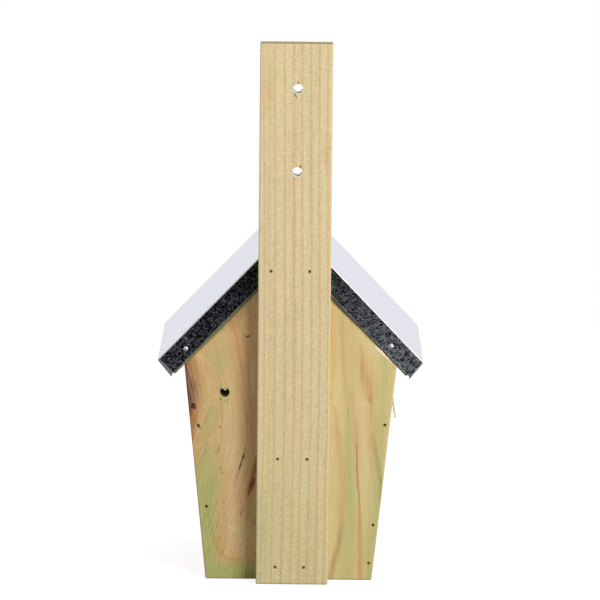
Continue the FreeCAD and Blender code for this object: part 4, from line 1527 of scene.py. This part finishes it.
@dataclass
class Carcass:
    """Batten, back, walls, floor and front, cut from planed pine.

    Attributes:
        batten: Quarter-sawn pine of the rear batten.
        back: Knotty pine of the back panel.
        right_wall: Pine of the +X wall.
        left_wall: Pine of the -X wall.
        front: Pine of the swinging front.
        floor: Pine of the floor.
    """

    batten: Pine = Pine(
        "batten_pine", (0.680, 0.572, 0.330), (0.665, 0.425, 0.195), span=(-25.5, 22.5),
        lines=BATTEN_LINES, marks=BATTEN_MARKS, face=7.0, green=0.18, blush=0.2, contrast=1.0,
        tooth=(0.025, 0.04, 0.14), fleck=0.1,
        bores=tuple((hole["pos_m"][0] / MM, hole["pos_m"][2] / MM) for hole in HANG_HOLES),
        bore_radius=HANG_HOLES[0]["dims"]["r_mm"],
    )
    back: Pine = Pine(
        "back_pine", (0.680, 0.550, 0.258), (0.600, 0.385, 0.165), far=(0.672, 0.430, 0.197),
        span=(-12.0, 22.0), pith=(36.0, -95.0), ring=5.5, contrast=0.22, knots=PANEL_KNOTS,
        streaks=PANEL_STREAKS, marks=PANEL_MARKS, face=-7.0, green=0.30, sway=0.30,
        tooth=(0.02, 0.08, 0.085), fleck=0.70, calm=0.40,
    )
    right_wall: Pine = Pine(
        "right_wall_pine", (0.640, 0.480, 0.235), (0.570, 0.325, 0.130), grain=Grain.UP_SIDE,
        pith=(-40.0, 0.0), lean=(0.06, 0.0), ring=5.0, contrast=0.80, green=0.4, fleck=0.5,
        branches=RIGHT_WALL_KNOTS,
    )
    left_wall: Pine = Pine(
        "left_wall_pine", (0.650, 0.490, 0.240), (0.580, 0.330, 0.135), grain=Grain.UP_SIDE,
        pith=(-86.0, -8.0), lean=(-0.05, 0.0), ring=4.4, contrast=0.80, green=0.4, fleck=0.5,
        branches=LEFT_WALL_KNOTS,
    )
    front: Pine = Pine(
        "front_pine", (0.660, 0.500, 0.245), (0.580, 0.335, 0.135), pith=(8.0, -165.0), lean=(0.02, 0.10),
        ring=4.6, contrast=0.80, green=0.3, fleck=0.5, branches=FRONT_KNOTS,
    )
    floor: Pine = Pine(
        "floor_pine", (0.640, 0.490, 0.240), (0.590, 0.370, 0.160), grain=Grain.ACROSS, pith=(-60.0, -30.0),
        ring=4.5, contrast=0.5, green=0.3,
    )

    def dress(self) -> None:
        """Give every board its pine."""
        wear(self.batten.material(), "rear_batten")
        wear(self.back.material(), "back_panel")
        wear(self.right_wall.material(), "right_wall")
        wear(self.left_wall.material(), "left_wall")
        wear(self.front.material(), "front_panel")
        wear(self.floor.material(), "floor_panel")


@dataclass
class Roof:
    """Two pine boards under one folded zinc sheet, held by dome nails.

    Attributes:
        right_board: Pine of the +X board, green at its rear end, with painted shade there towards the ridge.
        left_board: Pine of the -X board, dark at its rear end as painted shadow of the gap under the flange.
        sheet: Zinc of the sheet.
        domes: Steel of the flange nails.
    """

    right_board: Pine = Pine(
        "roof_pine", (0.640, 0.540, 0.250), (0.590, 0.400, 0.160), grain=Grain.DEEP, pith=(0.0, 60.0),
        ring=4.0, contrast=0.5, green=0.5, end=(0.20, 0.25, 0.085), marks=ROOF_END_SHADE, face=-7.0,
    )
    left_board: Pine = Pine(
        "roof_pine_damp", (0.640, 0.540, 0.250), (0.590, 0.400, 0.160), grain=Grain.DEEP, pith=(0.0, 60.0),
        # Its end grain is painted near black, as shadow
        ring=4.0, contrast=0.5, green=0.5, end=(0.03, 0.025, 0.012),
    )
    sheet: Zinc = Zinc()
    domes: Wire = Wire("dome_steel", (0.72, 0.72, 0.74), 0.22, 0.0)

    def dress(self) -> None:
        """Give the boards, the sheet and its nails their finishes."""
        wear(self.right_board.material(), "right_roof_board")
        wear(self.left_board.material(), "left_roof_board")
        spangle = self.sheet.material()
        wear(spangle, "roof_sheet")
        CornerTabs(self.sheet.form).build(spangle)
        wear(self.domes.material(), "rear_flange_nails", "front_flange_nails")


@dataclass
class CornerTabs:
    """Folded zinc tabs that close the slits between the gable flanges and the eave lips.

    Attributes:
        form: Sizes of the roof sheet.
        sheet: Thickness of the roof sheet in millimetres.
        flange_end: Run down the slope at which the flanges end.
        top: Depth under the slope at which a tab starts.
        foot: Depth at which it ends.
        lap: How far it laps under the flange and the lip.
        thick: Thickness of a tab.
        gables: Places of the rear and the front tabs along Y.
        bead: Radius of the rounded fold along a tab's outer edge.
        sides: Corners of that fold's round.
        silver: Finish of the folds.
        inside: Finish of the +X tabs.
    """

    form: RoofForm
    sheet: float = 0.5
    flange_end: float = 118.5
    top: float = 1.0
    foot: float = 13.0
    lap: float = 0.3
    thick: float = 0.35
    gables: Pair = (-7.25, -141.75)
    bead: float = 0.38
    sides: int = 12
    silver: Wire = Wire("folded_zinc", (0.70, 0.73, 0.79), 0.50, 0.0)
    inside: Wire = Wire("tab_zinc", (0.42, 0.43, 0.45), 0.45, 0.25, (0.30, 0.22, 0.15))

    def tab(self, shape: bmesh.types.BMesh, side: int, y: float) -> None:
        """Cut one tab and give it its thickness.

        Args:
            shape: Mesh that takes the tab, in metres.
            side: 1 on the +X slope, -1 on the other.
            y: Place of the tab along the ridge.
        """
        hem = self.form.hem()
        inner, outer = self.flange_end - self.lap, self.form.eave - self.sheet + self.lap
        corners = (
            (inner, self.top), (inner, self.foot),
            (outer + self.foot * hem, self.foot), (outer + self.top * hem, self.top),
        )
        rear = y - self.thick / 2.0
        points = [shape.verts.new(self.form.place(side, run, deep, rear)) for run, deep in corners]
        pulled = bmesh.ops.extrude_face_region(shape, geom=[shape.faces.new(points)])
        moved = [item for item in pulled["geom"] if isinstance(item, bmesh.types.BMVert)]
        bmesh.ops.translate(shape, verts=moved, vec=(0.0, self.thick * MM, 0.0))

    def rounded_corner(self, shape: bmesh.types.BMesh, side: int, y: float) -> None:
        """Lay the rounded fold along the outer edge of a tab.

        Args:
            shape: Mesh that takes the fold, in metres.
            side: 1 on the +X slope, -1 on the other.
            y: Place of the tab along the ridge.
        """
        hem = self.form.hem()
        run = self.form.eave - self.bead
        top = self.form.place(side, run + self.top * hem, self.top, y)
        foot = self.form.place(side, run + self.foot * hem, self.foot, y)
        turn = (foot - top).to_track_quat("Z", "Y").to_matrix().to_4x4()
        bmesh.ops.create_cone(
            shape, cap_ends=True, segments=self.sides, radius1=self.bead * MM, radius2=self.bead * MM,
            depth=(foot - top).length, matrix=Matrix.Translation((top + foot) / 2.0) @ turn,
        )

    def build(self, spangle: bpy.types.Material) -> None:
        """Make the tabs, the +X pair matt grey and the other pair spangled behind a silver fold.

        Args:
            spangle: The roof sheet's finish.
        """
        silver = self.silver.material()
        for side, name, material in ((1, "right", self.inside.material()), (-1, "left", spangle)):
            shape = bmesh.new()
            for y in self.gables:
                self.tab(shape, side, y)
            settle(shape, f"{name}_corner_tabs", material)
        beads = bmesh.new()
        for y in self.gables:
            self.rounded_corner(beads, -1, y)
        settle(beads, "left_corner_folds", silver)


@dataclass(frozen=True)
class Sliver:
    """A fibre that stands off its board along a bend.

    Attributes:
        path: Root, middle and tip of the bend, in millimetres.
        width: Breadth at the root.
        thick: Thickness.
        tip: Share of the breadth that is left at the tip.
        belly: How much broader the fibre is half way along.
        sides: Corners of its round.
        cuts: Cuts along its length.
        ragged: How uneven its breadth is.
        fray: How often the breadth changes, per millimetre.
    """

    path: tuple[Three, Three, Three]
    width: float
    thick: float
    tip: float = 0.3
    belly: float = 0.0
    sides: int = 8
    cuts: int = 9
    ragged: float = 0.45
    fray: float = 0.9

    def grow(self, shape: bmesh.types.BMesh) -> None:
        """Add the fibre to a mesh.

        Args:
            shape: Mesh that takes the fibre, in metres.
        """
        first = len(shape.verts)
        made = bmesh.ops.create_cone(
            shape, cap_ends=True, cap_tris=False, segments=self.sides, radius1=0.5, radius2=0.5, depth=1.0,
        )
        edges = {edge for vert in made["verts"] for edge in vert.link_edges}
        upright = [edge for edge in edges if edge.calc_length() > 0.9]
        bmesh.ops.subdivide_edges(shape, edges=upright, cuts=self.cuts)
        shape.verts.ensure_lookup_table()
        root, middle, tip = (Vector(point) for point in self.path)
        for vert in shape.verts[first:]:
            t = vert.co.z + 0.5
            centre = root * (1.0 - t) ** 2 + middle * (2.0 * t * (1.0 - t)) + tip * t**2
            heading = ((middle - root) * (1.0 - t) + (tip - middle) * t).normalized()
            side = heading.cross(Vector((0.0, 1.0, 0.0))).normalized()
            uneven = 1.0 + self.ragged * noise.noise(centre * self.fray + side * vert.co.x)
            share = (1.0 - t + self.tip * t) * (1.0 + self.belly * math.sin(math.pi * t)) * uneven
            away = side * (vert.co.x * self.width * share) + heading.cross(side) * (vert.co.y * self.thick)
            vert.co = (centre + away) * MM


@dataclass
class TornWood:
    """Fibres that saw and drill have torn up on the back panel's rear face, at y = -7 mm.

    Attributes:
        rim: Fibres round the lost knot's hole.
        edge: The splinter on the panel's -X edge.
        top: The chip under the roof on the -X side.
        green: Pine of the fibres round the hole.
        grey: Pine of the splinter.
        pink: Pine of the chip.
    """

    rim: tuple[Sliver, ...] = (
        Sliver(((42.6, -7.0, 125.6), (42.7, -6.7, 122.2), (40.6, -6.9, 120.5)), 1.2, 0.5, belly=0.3),
        Sliver(((38.6, -7.0, 123.9), (40.3, -6.9, 122.8), (40.8, -7.0, 120.9)), 2.0, 0.5, 0.5),
        Sliver(((39.0, -7.0, 123.0), (36.5, -6.9, 120.9), (37.4, -7.0, 117.0)), 1.0, 0.4, belly=0.4),
        Sliver(((43.2, -7.0, 115.9), (41.0, -6.9, 114.0), (39.0, -7.0, 115.6)), 1.1, 0.4, 0.8, 0.8),
        Sliver(((42.4, -7.0, 114.5), (41.1, -6.9, 113.2), (39.9, -7.0, 114.2)), 0.8, 0.4, 0.8, 0.6),
    )
    edge: tuple[Sliver, ...] = (
        Sliver(((-63.6, -8.4, 118.0), (-64.9, -7.7, 111.5), (-65.7, -7.6, 103.9)), 1.3, 0.9, 0.75),
        Sliver(((-63.6, -8.6, 116.5), (-64.6, -8.2, 112.5), (-64.5, -8.4, 108.6)), 1.0, 0.8, 0.3),
    )
    top: tuple[Sliver, ...] = (
        Sliver(((-51.9, -7.0, 150.1), (-57.4, -6.95, 144.6), (-62.8, -7.0, 139.7)), 0.8, 0.4, 0.6, 2.2),
    )
    green: Pine = Pine(
        "torn_pine", (0.560, 0.510, 0.220), (0.440, 0.400, 0.140), pith=(30.0, -60.0), ring=1.2, contrast=0.5,
        green=0.5, blush=0.0,
    )
    grey: Pine = Pine(
        "splinter_pine", (0.700, 0.620, 0.360), (0.560, 0.400, 0.190), pith=(-60.0, -60.0), ring=1.0,
        contrast=0.5,
    )
    pink: Pine = Pine(
        "chip_pine", (0.860, 0.690, 0.480), (0.780, 0.540, 0.330), pith=(-60.0, -60.0), ring=1.5,
        contrast=0.4, green=0.0,
    )

    def build(self) -> None:
        """Make the three tufts of fibre."""
        tufts = (
            ("knot_hole_fibres", self.rim, self.green),
            ("edge_splinter", self.edge, self.grey),
            ("roof_line_chip", self.top, self.pink),
        )
        for name, slivers, finish in tufts:
            shape = bmesh.new()
            for sliver in slivers:
                sliver.grow(shape)
            settle(shape, name, finish.material())


@dataclass
class Fixings:
    """Brads in the boards, the nails that the front swings on and the hook that holds it.

    Attributes:
        brads: Dull wire of the brads.
        damp_brads: Wire of the left wall's brads, rusty near the foot.
        batten_brads: Rusty wire of the batten's brads.
        plated: Zinc-plated steel of the hook and the pivot nails.
    """

    brads: Wire = Wire("brad_steel", (0.20, 0.13, 0.08), 0.55, 0.6, (0.12, 0.06, 0.03))
    damp_brads: Wire = Wire("brad_damp", (0.20, 0.13, 0.08), 0.55, 0.6, (0.42, 0.20, 0.07), 20.0)
    batten_brads: Wire = Wire("brad_rust", (0.30, 0.17, 0.09), 0.60, 2.0, (0.34, 0.17, 0.075))
    plated: Wire = Wire("plated_steel", (0.66, 0.65, 0.62), 0.3, 0.1)

    def dress(self) -> None:
        """Give the wire goods their finishes."""
        wear(self.batten_brads.material(), "batten_brads")
        wear(
            self.brads.material(), "right_wall_brads", "right_floor_brads", "right_roof_brads",
            "left_floor_brads", "left_roof_brads",
        )
        wear(self.damp_brads.material(), "left_wall_brads")
        wear(self.plated.material(), "latch_hook", "right_pivot_nail", "left_pivot_nail")


def settle(shape: bmesh.types.BMesh, name: str, material: bpy.types.Material) -> None:
    """Turn a finished shape into a piece that rides on the box.

    Args:
        shape: The closed shape, in metres, which is used up.
        name: Name of the piece.
        material: Its finish.
    """
    bmesh.ops.recalc_face_normals(shape, faces=shape.faces)
    made = placed(shape, name, material)
    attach(made, "box")
    LOG.info("%s made of %d faces in %s", name, len(made.data.polygons), material.name)


def placed(shape: bmesh.types.BMesh, name: str, material: bpy.types.Material) -> bpy.types.Object:
    """Put a shape into the scene.

    Args:
        shape: The shape, in metres, which is used up.
        name: Name of its object.
        material: Its finish.

    Returns:
        The object, at the origin.
    """
    mesh = bpy.data.meshes.new(name)
    shape.to_mesh(mesh)
    shape.free()
    mesh.materials.append(material)
    made = bpy.data.objects.new(name, mesh)
    bpy.context.scene.collection.objects.link(made)
    return made


def wear(material: bpy.types.Material, *nodes: str) -> None:
    """Put a finish on CAD nodes.

    Args:
        material: The finish.
        nodes: Names of the nodes that wear it.
    """
    for name in nodes:
        mesh = frame["nodes"][name].data
        mesh.materials.clear()
        mesh.materials.append(material)
        LOG.info("%s wears %s", name, material.name)


@dataclass
class Studio:
    """Pale floor, one soft lamp on the camera's side and a white backdrop beyond the box.

    Attributes:
        target: Point that the camera and the lamp look at, in metres.
        distance: Way from the camera to that point.
        pitch: How far the camera looks down, in radians.
        roll: Its roll.
        lens: Its focal length in millimetres.
        sensor: Width of its sensor.
        lamp_at: Place of the lamp.
        lamp_size: Width and height of the lamp.
        lamp_power: Power of the lamp in watts.
        fill: Level of the room on the camera's side.
        backdrop: Level of the backdrop beyond the box.
        room: Directions along Y between which one turns into the other.
        gloom: What metal mirrors of the room on the camera's side.
        mirrored: Directions between which that turns into the white backdrop.
        floor_radius: Radius of the floor.
        floor_middle: Middle of the floor.
        floor_drop: How far it lies below the box's foot.
        floor_sides: Corners of its round.
        paper: Level of the floor's colour.
        paper_rough: Roughness of the floor.
        glow: What the camera sees added to the floor, which makes it white outside the shadow.
    """

    target: Three = (-0.005465, 0.007, 0.180665)
    distance: float = 2.675226
    pitch: float = 0.163685
    roll: float = 0.0100833
    lens: float = 259.08
    sensor: float = 36.0
    lamp_at: Three = (-0.95, 1.25, 0.95)
    lamp_size: Pair = (0.80, 0.90)
    lamp_power: float = 25.0
    fill: float = 0.46
    backdrop: float = 0.90
    room: Pair = (0.5, -0.5)
    gloom: float = 0.12
    mirrored: Pair = (0.85, 0.30)
    floor_radius: float = 0.65
    floor_middle: Pair = (0.0, -0.35)
    floor_drop: float = 0.0002
    floor_sides: int = 96
    paper: float = 0.35
    paper_rough: float = 0.9
    glow: float = 0.80

    def camera(self) -> None:
        """Stand the camera behind the box, at the photograph's angle."""
        data = bpy.data.cameras.new("camera")
        data.lens = self.lens
        data.sensor_width = self.sensor
        back = Vector((0.0, math.cos(self.pitch), math.sin(self.pitch)))
        right = Vector((-1.0, 0.0, 0.0))
        up = back.cross(right)
        turned = right * math.cos(self.roll) + up * math.sin(self.roll)
        upright = back.cross(turned)
        made = bpy.data.objects.new("camera", data)
        turn = Matrix((turned, upright, back)).transposed().to_4x4()
        made.matrix_world = Matrix.Translation(Vector(self.target) + back * self.distance) @ turn
        bpy.context.scene.collection.objects.link(made)
        bpy.context.scene.camera = made

    def lamp(self) -> None:
        """Hang the soft lamp and aim it at the box."""
        data = bpy.data.lights.new("softbox", "AREA")
        data.shape = "RECTANGLE"
        data.size, data.size_y = self.lamp_size
        data.energy = self.lamp_power
        made = bpy.data.objects.new("softbox", data)
        made.location = self.lamp_at
        made.rotation_euler = (Vector(self.target) - made.location).to_track_quat("-Z", "Y").to_euler()
        bpy.context.scene.collection.objects.link(made)

    def surround(self) -> None:
        """Light the box evenly, with white beyond it and a dim room on the camera's side."""
        world = bpy.data.worlds.new("studio")
        bpy.context.scene.world = world
        world.use_nodes = True
        nodes = Nodes(world.node_tree)
        place = nodes.node("ShaderNodeTexCoord").outputs["Generated"]
        toward = nodes.split(place)[1]
        ray = nodes.node("ShaderNodeLightPath").outputs
        lit = nodes.fade(toward, *self.room, self.fill, self.backdrop)
        mirrored = nodes.fade(toward, *self.mirrored, self.gloom, 1.0)
        strength: Number = lit
        for kind, level in (("Is Glossy Ray", mirrored), ("Is Camera Ray", 1.0)):
            made = nodes.node("ShaderNodeMix")
            nodes.feed(made.inputs[0], ray[kind])
            nodes.feed(made.inputs[2], strength)
            nodes.feed(made.inputs[3], level)
            strength = made.outputs[0]
        shade = world.node_tree.nodes["Background"]
        nodes.feed(shade.inputs["Strength"], strength)
        nodes.feed(shade.inputs["Color"], (1.0, 1.0, 1.0))

    def floor(self) -> None:
        """Lay the pale round floor that the box stands on."""
        material = bpy.data.materials.new("pale_floor")
        material.use_nodes = True
        nodes = Nodes(material.node_tree)
        paper = material.node_tree.nodes["Principled BSDF"]
        nodes.feed(paper.inputs["Base Color"], (self.paper, self.paper, self.paper))
        nodes.feed(paper.inputs["Roughness"], self.paper_rough)
        nodes.feed(paper.inputs["Specular IOR Level"], 0.0)
        seen = nodes.node("ShaderNodeLightPath").outputs["Is Camera Ray"]
        glow = nodes.node("ShaderNodeEmission")
        nodes.feed(glow.inputs["Strength"], nodes.times(seen, self.glow))
        both = nodes.node("ShaderNodeAddShader")
        nodes.feed(both.inputs[0], paper.outputs[0])
        nodes.feed(both.inputs[1], glow.outputs[0])
        nodes.feed(material.node_tree.nodes["Material Output"].inputs["Surface"], both.outputs[0])
        shape = bmesh.new()
        middle = Matrix.Translation((*self.floor_middle, -self.floor_drop))
        bmesh.ops.create_circle(
            shape, cap_ends=True, segments=self.floor_sides, radius=self.floor_radius, matrix=middle,
        )
        placed(shape, "floor", material)

    def set_up(self) -> None:
        """Make the whole studio."""
        self.camera()
        self.lamp()
        self.surround()
        self.floor()
        bpy.context.scene.view_settings.view_transform = "Standard"


def main() -> None:
    """Build the studio and dress the box, piece by piece."""
    logging.basicConfig(level=logging.INFO, format="%(name)s: %(message)s")
    Studio().set_up()
    Carcass().dress()
    Roof().dress()
    Fixings().dress()
    TornWood().build()


if __name__ == "__main__":
    main()
